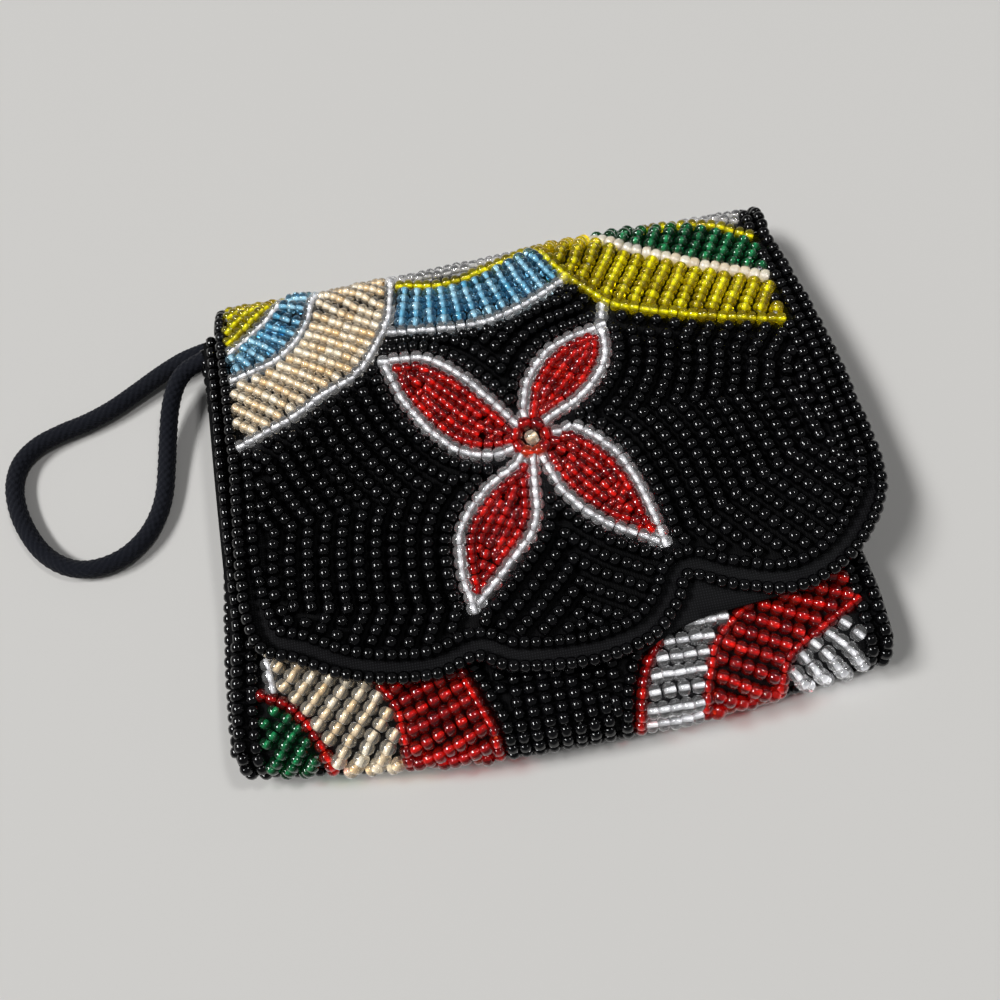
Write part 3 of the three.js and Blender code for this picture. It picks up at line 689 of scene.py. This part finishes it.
# Back, sides and bottom
side_row_height = 1.7
side_row_pitch = 2.4
roll_end = fold_line + fold_face * np.pi * 0.6
back_end = fold_line + fold_face * np.pi + fold_line - bottom_line
for x in hidden_columns:
    start = roll_end if fold_left < x < fold_right else fold_round + 1
    string("back_black_field", on_wrap, [(x, start), (x, back_end)], back_bead, room=1.5)
for name, side in (("left_edge_beads", -1), ("right_edge_beads", 1)):
    for row, top_end in enumerate((mouth_line + 2, mouth_line - 0.6, mouth_line - 0.6)):
        z = side_row_height + side_row_pitch * row
        string(name, on_side(side), [(top_end, z), (bottom_line - 1, z)], edge_bead)
for turn in (1.86, 2.36):
    run = bottom_line - bottom_face * turn
    string("bottom_edge_beads", on_front, [(-51.6, run), (51.6, run)], edge_bead, room=1.5)


# Meshes of beads
def bead_form(rows, sides):
    """Ring-shaped bead along X: corners, faces and the number of faces that aren't the bore."""
    turn = np.linspace(0, 2 * np.pi, sides, endpoint=False)
    corners = [(a, r * math.cos(t), r * math.sin(t)) for a, r in rows for t in turn]
    faces = []
    for row in range(len(rows)):
        after = (row + 1) % len(rows)
        for s in range(sides):
            t = (s + 1) % sides
            faces.append((row * sides + s, row * sides + t, after * sides + t, after * sides + s))
    order = sorted(range(len(rows)), key=lambda row: row == len(rows) - 2)
    ranked = [face for row in order for face in faces[row * sides : (row + 1) * sides]]
    return np.array(corners), np.array(ranked), (len(rows) - 1) * sides


outer_rows = [(-1, 0.5), (-0.82, 0.8), (-0.35, 1), (0.35, 1), (0.82, 0.8), (1, 0.5)]
plain_rows = [(-1, 0.55), (-0.6, 0.95), (0.6, 0.95), (1, 0.55), (0.85, 0.4), (-0.85, 0.4)]
fine_form = bead_form(outer_rows + [(0.76, 0.25), (-0.76, 0.25)], 12)
wide_form = bead_form(outer_rows + [(0.66, 0.34), (-0.66, 0.34)], 12)
plain_form = bead_form(plain_rows, 10)

# How much of its pitch a bead fills, and how much beads differ in tilt, place, thickness and length
bead_fill = 0.97
tilt_spread = 0.05
place_spread = 0.05
thickness_spread = 0.03
length_spread = 0.04


def unit(vectors):
    return vectors / np.linalg.norm(vectors, axis=1, keepdims=True)


def bead_mesh(name, groups, form, materials):
    corners, faces, outer_count = form
    all_points = []
    all_tints = []
    for bead, centres, axes, up in groups:
        count = len(centres)
        along = unit(unit(axes) + chance.normal(0, tilt_spread, (count, 3)))
        across = unit(np.cross(up, along))
        normal = np.cross(along, across)
        thickness = np.clip(chance.normal(1, thickness_spread, (count, 1)), 0.94, 1.05)
        length = np.clip(chance.normal(1, length_spread, (count, 1)), 0.92, 1.08)
        size = bead.diameter / 2 * thickness
        half = bead.pitch * bead_fill / 2 * length
        spots = centres + chance.normal(0, place_spread, (count, 3)) * (1, 1, 0.4)
        basis = np.stack([along * half, across * size, normal * size], axis=1)
        all_points.append(spots[:, None, :] + np.einsum("vk,bkc->bvc", corners, basis))
        all_tints.append(np.repeat(chance.random(count), len(corners)))
    points = in_frame(np.concatenate(all_points).reshape(-1, 3))
    total = len(points) // len(corners)
    loops = (faces[None] + np.arange(total)[:, None, None] * len(corners)).reshape(-1)
    mesh = bpy.data.meshes.new(name)
    mesh.vertices.add(len(points))
    mesh.vertices.foreach_set("co", points.astype(np.float32).ravel())
    mesh.loops.add(len(loops))
    mesh.loops.foreach_set("vertex_index", loops.astype(np.int32))
    mesh.polygons.add(len(loops) // 4)
    mesh.polygons.foreach_set("loop_start", np.arange(0, len(loops), 4, dtype=np.int32))
    for material in materials:
        mesh.materials.append(material)
    bore = np.tile(np.arange(len(faces)) >= outer_count, total)
    mesh.polygons.foreach_set("material_index", bore.astype(np.int32))
    mesh.polygons.foreach_set("use_smooth", np.ones(len(loops) // 4, bool))
    tint = mesh.attributes.new("bead_tint", "FLOAT", "POINT")
    tint.data.foreach_set("value", np.concatenate(all_tints).astype(np.float32))
    mesh.update(calc_edges=True)
    mesh.validate()
    return mesh


# Materials
def new_material(name):
    material = bpy.data.materials.new(name)
    material.use_nodes = True
    tree = material.node_tree
    return material, tree.nodes, tree.links, tree.nodes["Principled BSDF"]


def noise(nodes, links, scale, detail=2.0):
    place = nodes.new("ShaderNodeTexCoord")
    texture = nodes.new("ShaderNodeTexNoise")
    texture.inputs["Scale"].default_value = scale
    texture.inputs["Detail"].default_value = detail
    links.new(place.outputs["Object"], texture.inputs["Vector"])
    return texture.outputs["Fac"]


def ranged(nodes, links, value, low, high):
    step = nodes.new("ShaderNodeMapRange")
    step.inputs["From Min"].default_value = 0.3
    step.inputs["From Max"].default_value = 0.7
    step.inputs["To Min"].default_value = low
    step.inputs["To Max"].default_value = high
    links.new(value, step.inputs["Value"])
    return step.outputs["Result"]


def mixed(nodes, links, share, one, other):
    mix = nodes.new("ShaderNodeMix")
    mix.data_type = "RGBA"
    mix.inputs["A"].default_value = (*one, 1)
    mix.inputs["B"].default_value = (*other, 1)
    links.new(share, mix.inputs["Factor"])
    return mix.outputs["Result"]


def bead_surface(name, dark, light, roughness):
    """A tint that differs from bead to bead, and a slightly uneven polish."""
    material, nodes, links, shader = new_material(name)
    tint = nodes.new("ShaderNodeAttribute")
    tint.attribute_name = "bead_tint"
    links.new(mixed(nodes, links, tint.outputs["Fac"], dark, light), shader.inputs["Base Color"])
    cloudy = noise(nodes, links, 900)
    links.new(ranged(nodes, links, cloudy, 0.6 * roughness, 1.6 * roughness), shader.inputs["Roughness"])
    shader.inputs["IOR"].default_value = 1.5
    return material, nodes, links, shader


def glass_beads(name, dark, light, cast, clarity, haze):
    """Glass that lets the lamps through to its lined bore, with a haze of light round its rim."""
    material, nodes, links, shader = bead_surface(name, dark, light, 0.06)
    shader.inputs["Transmission Weight"].default_value = clarity
    shader.inputs["Coat Weight"].default_value = 0.8
    shader.inputs["Coat Roughness"].default_value = 0.06
    shader.inputs["Sheen Weight"].default_value = haze
    shader.inputs["Sheen Roughness"].default_value = 0.25
    path = nodes.new("ShaderNodeLightPath")
    clear = nodes.new("ShaderNodeBsdfTransparent")
    clear.inputs["Color"].default_value = (*cast, 1)
    mix = nodes.new("ShaderNodeMixShader")
    links.new(path.outputs["Is Shadow Ray"], mix.inputs["Fac"])
    links.new(shader.outputs["BSDF"], mix.inputs[1])
    links.new(clear.outputs["BSDF"], mix.inputs[2])
    links.new(mix.outputs["Shader"], nodes["Material Output"].inputs["Surface"])
    return material


def bore_lining(name, dull, bright, metallic):
    """The lined bore that shows through the glass, brighter in some beads."""
    material, nodes, links, shader = new_material(name)
    tint = nodes.new("ShaderNodeAttribute")
    tint.attribute_name = "bead_tint"
    links.new(mixed(nodes, links, tint.outputs["Fac"], dull, bright), shader.inputs["Base Color"])
    worn = noise(nodes, links, 1500)
    links.new(ranged(nodes, links, worn, 0.25, 0.5), shader.inputs["Roughness"])
    shader.inputs["Metallic"].default_value = metallic
    return material


def woven(name, dark, light, threads, sheen):
    """Plain weave, as two sets of threads in relief, with painted shade: the colour is darker where the
    threads lie low.
    """
    material, nodes, links, shader = new_material(name)
    place = nodes.new("ShaderNodeTexCoord")
    heights = []
    for direction in ("X", "Y"):
        wave = nodes.new("ShaderNodeTexWave")
        wave.bands_direction = direction
        wave.inputs["Scale"].default_value = threads
        wave.inputs["Distortion"].default_value = 0.6
        wave.inputs["Detail"].default_value = 1.0
        links.new(place.outputs["Object"], wave.inputs["Vector"])
        heights.append(wave.outputs["Fac"])
    weave = nodes.new("ShaderNodeMath")
    weave.operation = "MULTIPLY"
    links.new(heights[0], weave.inputs[0])
    links.new(heights[1], weave.inputs[1])
    bump = nodes.new("ShaderNodeBump")
    bump.inputs["Strength"].default_value = 0.5
    bump.inputs["Distance"].default_value = 0.0002
    links.new(weave.outputs["Value"], bump.inputs["Height"])
    links.new(bump.outputs["Normal"], shader.inputs["Normal"])
    # Painted shade: the colour follows the threads' height, darker in the hollows of the weave
    links.new(mixed(nodes, links, weave.outputs["Value"], dark, light), shader.inputs["Base Color"])
    faded = noise(nodes, links, 120)
    links.new(ranged(nodes, links, faded, 0.75, 0.95), shader.inputs["Roughness"])
    shader.inputs["Specular IOR Level"].default_value = 0.15
    shader.inputs["Sheen Weight"].default_value = sheen
    shader.inputs["Sheen Roughness"].default_value = 0.4
    return material


silver_bore = bore_lining("silver_bore", (0.5, 0.5, 0.52), (0.84, 0.84, 0.86), 0.3)
grey_bore = bore_lining("grey_bore", (0.2, 0.19, 0.18), (0.34, 0.33, 0.31), 0.0)
gold_bore = bore_lining("gold_bore", (0.84, 0.62, 0.34), (0.98, 0.95, 0.86), 0.3)
pale_bore = bore_lining("pale_bore", (0.8, 0.84, 0.86), (0.98, 0.99, 1.0), 0.1)
ruby_bore = bore_lining("ruby_bore", (0.5, 0.02, 0.012), (0.98, 0.22, 0.06), 0.2)
dark_bore = bore_lining("dark_bore", (0.01, 0.01, 0.01), (0.02, 0.02, 0.02), 0.0)
black_glass = bead_surface("black_glass", (0.001, 0.001, 0.0012), (0.003, 0.003, 0.0036), 0.07)[0]

# Glass by colour: its dark and light tint, the cast of its shadow, its clarity and its haze
glass_kinds = (
    ("clear", (0.9, 0.9, 0.9), (0.98, 0.98, 0.98), (0.96, 0.96, 0.97), 0.91, 0.7),
    ("yellow", (0.52, 0.4, 0.0), (0.86, 0.75, 0.0), (0.96, 0.92, 0.12), 0.84, 0.05),
    ("blue", (0.03, 0.24, 0.43), (0.27, 0.48, 0.6), (0.75, 0.92, 0.97), 0.86, 0.2),
    ("cream", (0.8, 0.69, 0.53), (0.94, 0.87, 0.75), (0.97, 0.94, 0.88), 0.8, 0.7),
    ("green", (0.002, 0.09, 0.027), (0.01, 0.17, 0.055), (0.12, 0.6, 0.34), 0.85, 0.05),
    ("pearl", (0.94, 0.8, 0.6), (1.0, 0.94, 0.82), (0.97, 0.94, 0.88), 0.4, 0.6),
    ("red", (0.26, 0.001, 0.003), (0.62, 0.016, 0.006), (0.78, 0.07, 0.04), 0.76, 0.02),
    ("orange", (0.5, 0.02, 0.006), (0.72, 0.09, 0.012), (0.75, 0.16, 0.04), 0.72, 0.03),
)
glass = {}
for colour, *looks in glass_kinds:
    glass[colour] = glass_beads(f"{colour}_glass", *looks)
bead_materials = {
    "black_beads": (black_glass, dark_bore),
    "clear_beads": (glass["clear"], silver_bore),
    "faint_beads": (glass["clear"], grey_bore),
    "yellow_beads": (glass["yellow"], silver_bore),
    "blue_beads": (glass["blue"], pale_bore),
    "cream_beads": (glass["cream"], gold_bore),
    "green_beads": (glass["green"], silver_bore),
    "pearl_beads": (glass["pearl"], silver_bore),
    "red_beads": (glass["red"], ruby_bore),
    "orange_beads": (glass["orange"], ruby_bore),
}
cloth_material = woven("black_cloth", (0.003, 0.003, 0.0035), (0.014, 0.0145, 0.016), 700, 0.04)
# A darker copy of the cloth, with painted shade for the gaps between beads where the beads shade the
# cloth
painted_shade_cloth = woven("cloth_painted_shade_between_beads", (0.001, 0.001, 0.0012), (0.004, 0.004, 0.005), 700, 0.0)
satin_material = woven("black_satin", (0.006, 0.006, 0.008), (0.016, 0.017, 0.02), 1100, 0.2)
steel_material, steel_nodes, steel_links, steel_shader = new_material("brushed_steel")
steel_shader.inputs["Base Color"].default_value = (0.6, 0.6, 0.58, 1)
steel_shader.inputs["Metallic"].default_value = 1.0
brushed = ranged(steel_nodes, steel_links, noise(steel_nodes, steel_links, 2500), 0.2, 0.4)
steel_links.new(brushed, steel_shader.inputs["Roughness"])
for node in ("press_stud_ball", "press_stud_socket"):
    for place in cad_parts[node].material_slots:
        place.material = steel_material


def add_piece(name, mesh, nodes):
    piece = bpy.data.objects.new(name, mesh)
    bpy.context.scene.collection.objects.link(piece)
    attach(piece, "root")
    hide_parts(*nodes)
    return piece


other_forms = {"front_upper_field": plain_form, "back_black_field": plain_form, "cream_band": wide_form}
for (node, look), groups in strung.items():
    name = f"{node}_{look}"
    mesh = bead_mesh(name, groups, other_forms.get(node, fine_form), bead_materials[look])
    add_piece(name, mesh, [node])


# Cloth
def sheet_mesh(name, points, faces, material):
    mesh = bpy.data.meshes.new(name)
    mesh.from_pydata(in_frame(points).tolist(), [], faces)
    mesh.materials.append(material)
    mesh.polygons.foreach_set("use_smooth", np.ones(len(mesh.polygons), bool))
    mesh.update()
    return mesh


def thicken(piece, thickness):
    shell = piece.modifiers.new("thickness", "SOLIDIFY")
    shell.thickness = thickness * millimetre
    shell.offset = -1.0


def grid_faces(rows, columns):
    faces = []
    for row in range(rows - 1):
        for column in range(columns - 1):
            corner = row * columns + column
            faces.append((corner, corner + 1, corner + columns + 1, corner + columns))
    return faces


draw_length = 6.0


def tapered(surface, runs, rise, columns=60):
    """Rows of points between the cloth's two edges, which draw in at the fold."""
    rows = []
    for run in runs:
        drawn = ease((fold_round + draw_length - run) / draw_length) if surface is on_wrap else 0.0
        left = -cloth_half_width + drawn * (fold_left + cloth_half_width)
        right = cloth_half_width + drawn * (fold_right - cloth_half_width)
        x = np.linspace(left, right, columns)
        rows.append(surface(x, np.full(columns, float(run)), rise))
    return rows


def cloth_strip(name, rows, nodes, material, thickness):
    """One strip of cloth through rows of points, thickened to the given thickness."""
    columns = len(rows[0])
    points = np.vstack(rows)
    faces = [face[::-1] for face in grid_faces(len(rows), columns)]
    piece = add_piece(name, sheet_mesh(name, points, faces, material), nodes)
    thicken(piece, thickness)
    return piece


fold_runs = np.linspace(fold_line, fold_round, 24)
back_runs = np.linspace(fold_round + 1, back_end, 36)
bottom_runs = np.linspace(bottom_line - np.pi * bottom_face, bottom_line, 20)[1:]
front_runs = np.linspace(bottom_line + 2, mouth_line, 36)
body_rows = tapered(on_wrap, np.concatenate([fold_runs, back_runs]), 0.0)
body_rows += tapered(on_front, np.concatenate([bottom_runs, front_runs]), 0.0)
# The body cloth is all the darker copy, with shade painted into the gaps between its beads
cloth_strip(
    "body_cloth",
    body_rows,
    ["outer_cloth"],
    painted_shade_cloth,
    cloth_thickness,
)
lining_rise = -cloth_thickness - lining_gap
lining_runs = np.linspace(fold_round + fold_line - mouth_line, back_end, 36)
lining_rows = tapered(on_wrap, lining_runs, lining_rise)
lining_rows += tapered(on_front, np.concatenate([bottom_runs, front_runs]), lining_rise)
cloth_strip(
    "lining_satin",
    lining_rows,
    ["pocket_lining"],
    satin_material,
    lining_thickness,
)

# Side seams that close the pocket, with what is turned in at the seam
seam_thickness = 0.4
seam_inset = 0.3
seam_swell = 0.15
seam_columns = 6
bottom_turn = np.linspace(0.1, np.pi / 2, 8)
seam_levels = np.concatenate([bottom_line - bottom_face * np.cos(bottom_turn), front_runs])
depth = np.sqrt(np.maximum(bottom_face**2 - np.minimum(seam_levels - bottom_line, 0) ** 2, 0))
front_top = front_rise + crown(seam_levels) + 0.5
seam_top = np.where(seam_levels < bottom_line, bottom_height + depth, front_top)
seam_low = np.where(seam_levels < bottom_line, bottom_height - depth, back_face + 0.1)
swell = seam_swell * np.sin(np.pi * np.linspace(0, 1, seam_columns))
for name, side in (("left_seam", -1), ("right_seam", 1)):
    rows = []
    for y, first, last in zip(seam_levels, seam_low, seam_top):
        z = np.linspace(first, last, seam_columns)
        x = side * (cloth_half_width - seam_inset + (swell + seam_shift(side, y, z)))
        rows.append(np.stack([x, np.full(seam_columns, y), z], axis=1))
    faces = grid_faces(len(rows), seam_columns)
    if side > 0:
        faces = [face[::-1] for face in faces]
    mesh = sheet_mesh(name, np.vstack(rows), faces, cloth_material)
    seam = add_piece(name, mesh, ["outer_cloth"])
    thicken(seam, seam_thickness)

# Flap, cut along its edging row, with a shallower notch than the edging has
flap_hem = offset(flap_edge, -0.5)
notch = [(13.3, -35.6), (18.8, -33.2), (24.5, -31.5), (29.6, -31.0), (37.7, -30.3)]
in_notch = (flap_hem[:, 0] > 13) & (flap_hem[:, 0] < 38) & (flap_hem[:, 1] < -20)
first_notch = int(np.argmax(in_notch))
last_notch = len(in_notch) - int(np.argmax(in_notch[::-1]))
flap_outline = np.vstack(
    [
        [(fold_left, fold_line)],
        flap_hem[:first_notch:3],
        spaced(smooth(notch), 14),
        flap_hem[last_notch::3],
        [(fold_right, fold_line)],
    ]
)
mesh_step = 2.2
inner_x, inner_y = np.meshgrid(np.arange(-60, 62, mesh_step), np.arange(-36, fold_line, mesh_step))
corners = [Vector(point) for point in flap_outline.tolist()]
corners += [Vector(point) for point in zip(inner_x.ravel().tolist(), inner_y.ravel().tolist())]
rim = [(index, (index + 1) % len(flap_outline)) for index in range(len(flap_outline))]
flat_points, _, flap_faces, _, _, _ = delaunay_2d_cdt(corners, rim, [], 1, 0.01)
used, flap_faces = np.unique(np.array(flap_faces), return_inverse=True)
flat_points = np.array([tuple(point) for point in flat_points])[used]
flap_points = on_wrap(flat_points[:, 0], flat_points[:, 1], 0.0)
flap_cloth = add_piece(
    "flap_cloth",
    sheet_mesh("flap_cloth", flap_points, flap_faces.reshape(-1, 3).tolist(), cloth_material),
    ["outer_cloth"],
)
# Faces deeper in than the bare strip take the darker copy, with shade painted between the beads
flap_cloth.data.materials.append(painted_shade_cloth)
for face in flap_cloth.data.polygons:
    middle = flat_points[list(face.vertices)].mean(axis=0)
    from_hem = np.linalg.norm(flap_hem - middle, axis=1).min()
    face.material_index = int(from_hem > bare_strip + edge_bead.diameter)
thicken(flap_cloth, cloth_thickness)

# Wrist cord
cord_route = [
    (-53.2, 35.8, 3.5),
    (-55.5, 35.4, 3.4),
    (-58.7, 34.6, 3.2),
    (-63, 32.9, 2.7),
    (-67.5, 30.7, 2.2),
    (-72.5, 28.2, 1.9),
    (-77.4, 26.4, 1.75),
    (-82.5, 25.1, 1.75),
    (-87, 23.4, 1.75),
    (-90.2, 20.6, 1.75),
    (-91.6, 16.6, 1.75),
    (-91.3, 12, 1.75),
    (-89.8, 7.4, 1.75),
    (-87.3, 3, 1.75),
    (-84, -0.2, 1.75),
    (-80.2, -1.9, 1.75),
    (-76, -2, 1.75),
    (-71.8, -0.7, 1.75),
    (-68.2, 2, 1.75),
    (-65.7, 5.6, 1.75),
    (-64.2, 9.8, 1.8),
    (-63.3, 14.8, 2.2),
    (-62.4, 20, 3),
    (-61.2, 25, 4.2),
    (-59.5, 28.7, 5.3),
    (-57.6, 30.8, 5.9),
    (-55.6, 31.8, 6.2),
    (-53.2, 32.6, 6.4),
]


def braided(route, diameter, strands, pitch):
    """A round braid in relief along a route."""
    line = smooth(route)
    length = reach_along(line)[-1]
    rings = int(length / 0.16)
    sides = 44
    line = spaced(line, rings)
    along = unit(np.gradient(line, axis=0))
    across = unit(np.cross(np.tile((0.0, 0.0, 1.0), (rings, 1)), along))
    normal = np.cross(along, across)
    turn = np.linspace(0, 2 * np.pi, sides, endpoint=False)
    reach = np.linspace(0, length, rings)[:, None]
    one = strands * turn[None, :] / (2 * np.pi) + reach / pitch
    other = strands * turn[None, :] / (2 * np.pi) - reach / pitch
    over = (np.floor(one) + np.floor(other)) % 2 == 0
    top = np.where(over, one, other) % 1
    end = np.where(over, other, one) % 1
    height = np.sqrt(np.sin(np.pi * top)) * (0.55 + 0.45 * np.sin(np.pi * end))
    radius = diameter / 2 * (0.84 + 0.16 * height)
    ring = np.cos(turn)[None, :, None] * across[:, None] + np.sin(turn)[None, :, None] * normal[:, None]
    points = line[:, None] + radius[:, :, None] * ring
    faces = []
    for row in range(rings - 1):
        for side in range(sides):
            after = (side + 1) % sides
            here = row * sides
            faces.append((here + side, here + after, here + sides + after, here + sides + side))
    faces.append(list(range(sides))[::-1])
    faces.append([(rings - 1) * sides + side for side in range(sides)])
    return points.reshape(-1, 3), faces, line, length


braid_strands = 8
braid_pitch = 1.5
cord_points, cord_faces, cord_line, cord_length = braided(
    cord_route, cord_diameter, braid_strands, braid_pitch
)
cord_material = woven("braid", (0.005, 0.006, 0.01), (0.02, 0.022, 0.032), 1600, 0.08)
wrist_cord = add_piece(
    "wrist_cord_braid",
    sheet_mesh("wrist_cord_braid", cord_points, cord_faces, cord_material),
    ["wrist_cord"],
)

# Floor, light and camera
floor_mesh = bpy.data.meshes.new("floor")
floor_mesh.from_pydata([(-30, -30, 0), (30, -30, 0), (30, 30, 0), (-30, 30, 0)], [], [(0, 1, 2, 3)])
floor = bpy.data.objects.new("floor", floor_mesh)
bpy.context.scene.collection.objects.link(floor)
floor_material, _, _, floor_shader = new_material("pale_floor")
floor_shader.inputs["Base Color"].default_value = (0.62, 0.61, 0.59, 1)
floor_shader.inputs["Roughness"].default_value = 0.8
floor_mesh.materials.append(floor_material)


def far_lamp(name, source, spread, strength):
    """A lamp far away in a direction, as wide as its spread in degrees."""
    data = bpy.data.lights.new(name, "SUN")
    data.angle = math.radians(spread)
    data.energy = strength
    lamp = bpy.data.objects.new(name, data)
    lamp.rotation_euler = Vector(source).to_track_quat("Z", "Y").to_euler()
    bpy.context.scene.collection.objects.link(lamp)


far_lamp("window_top", (-0.62, 0.2, 0.78), 14, 1.65)
far_lamp("window_foot", (-0.58, -0.02, 0.8), 10, 1.1)
far_lamp("lamp", (0.42, 0.12, 0.86), 8, 0.66)
world = bpy.data.worlds.new("studio")
world.use_nodes = True
sky_nodes = world.node_tree.nodes
sky_links = world.node_tree.links
sky_place = sky_nodes.new("ShaderNodeTexCoord")
sky_parts = sky_nodes.new("ShaderNodeSeparateXYZ")
sky_fade = sky_nodes.new("ShaderNodeMapRange")
sky_fade.inputs["From Max"].default_value = 0.6
sky_fade.inputs["To Min"].default_value = 0.15
sky_fade.inputs["To Max"].default_value = 0.1
sky_links.new(sky_place.outputs["Generated"], sky_parts.inputs["Vector"])
sky_links.new(sky_parts.outputs["Z"], sky_fade.inputs["Value"])
sky_links.new(sky_fade.outputs["Result"], sky_nodes["Background"].inputs["Strength"])
sky_nodes["Background"].inputs["Color"].default_value = (0.97, 0.98, 1.0, 1)
bpy.context.scene.world = world

camera_elevation = math.radians(72.5)
camera_azimuth = math.radians(-2.2)
camera_roll = math.radians(-8)
camera_distance = 174.7
camera_target = (-4.4, -4.2, 6.0)
back = Vector(
    (
        math.sin(camera_azimuth) * math.cos(camera_elevation),
        -math.cos(camera_azimuth) * math.cos(camera_elevation),
        math.sin(camera_elevation),
    )
)
camera_data = bpy.data.cameras.new("camera")
camera_data.sensor_width = 36
camera_data.lens = 36
camera_data.clip_start = 0.005
camera = bpy.data.objects.new("camera", camera_data)
camera.rotation_mode = "QUATERNION"
camera.location = Vector(in_frame(camera_target)) + back * camera_distance * millimetre
roll = Matrix.Rotation(camera_roll, 3, "Z").to_quaternion()
camera.rotation_quaternion = (-back).to_track_quat("-Z", "Y") @ roll
bpy.context.scene.collection.objects.link(camera)
bpy.context.scene.camera = camera
bpy.context.scene.view_settings.view_transform = "Standard"
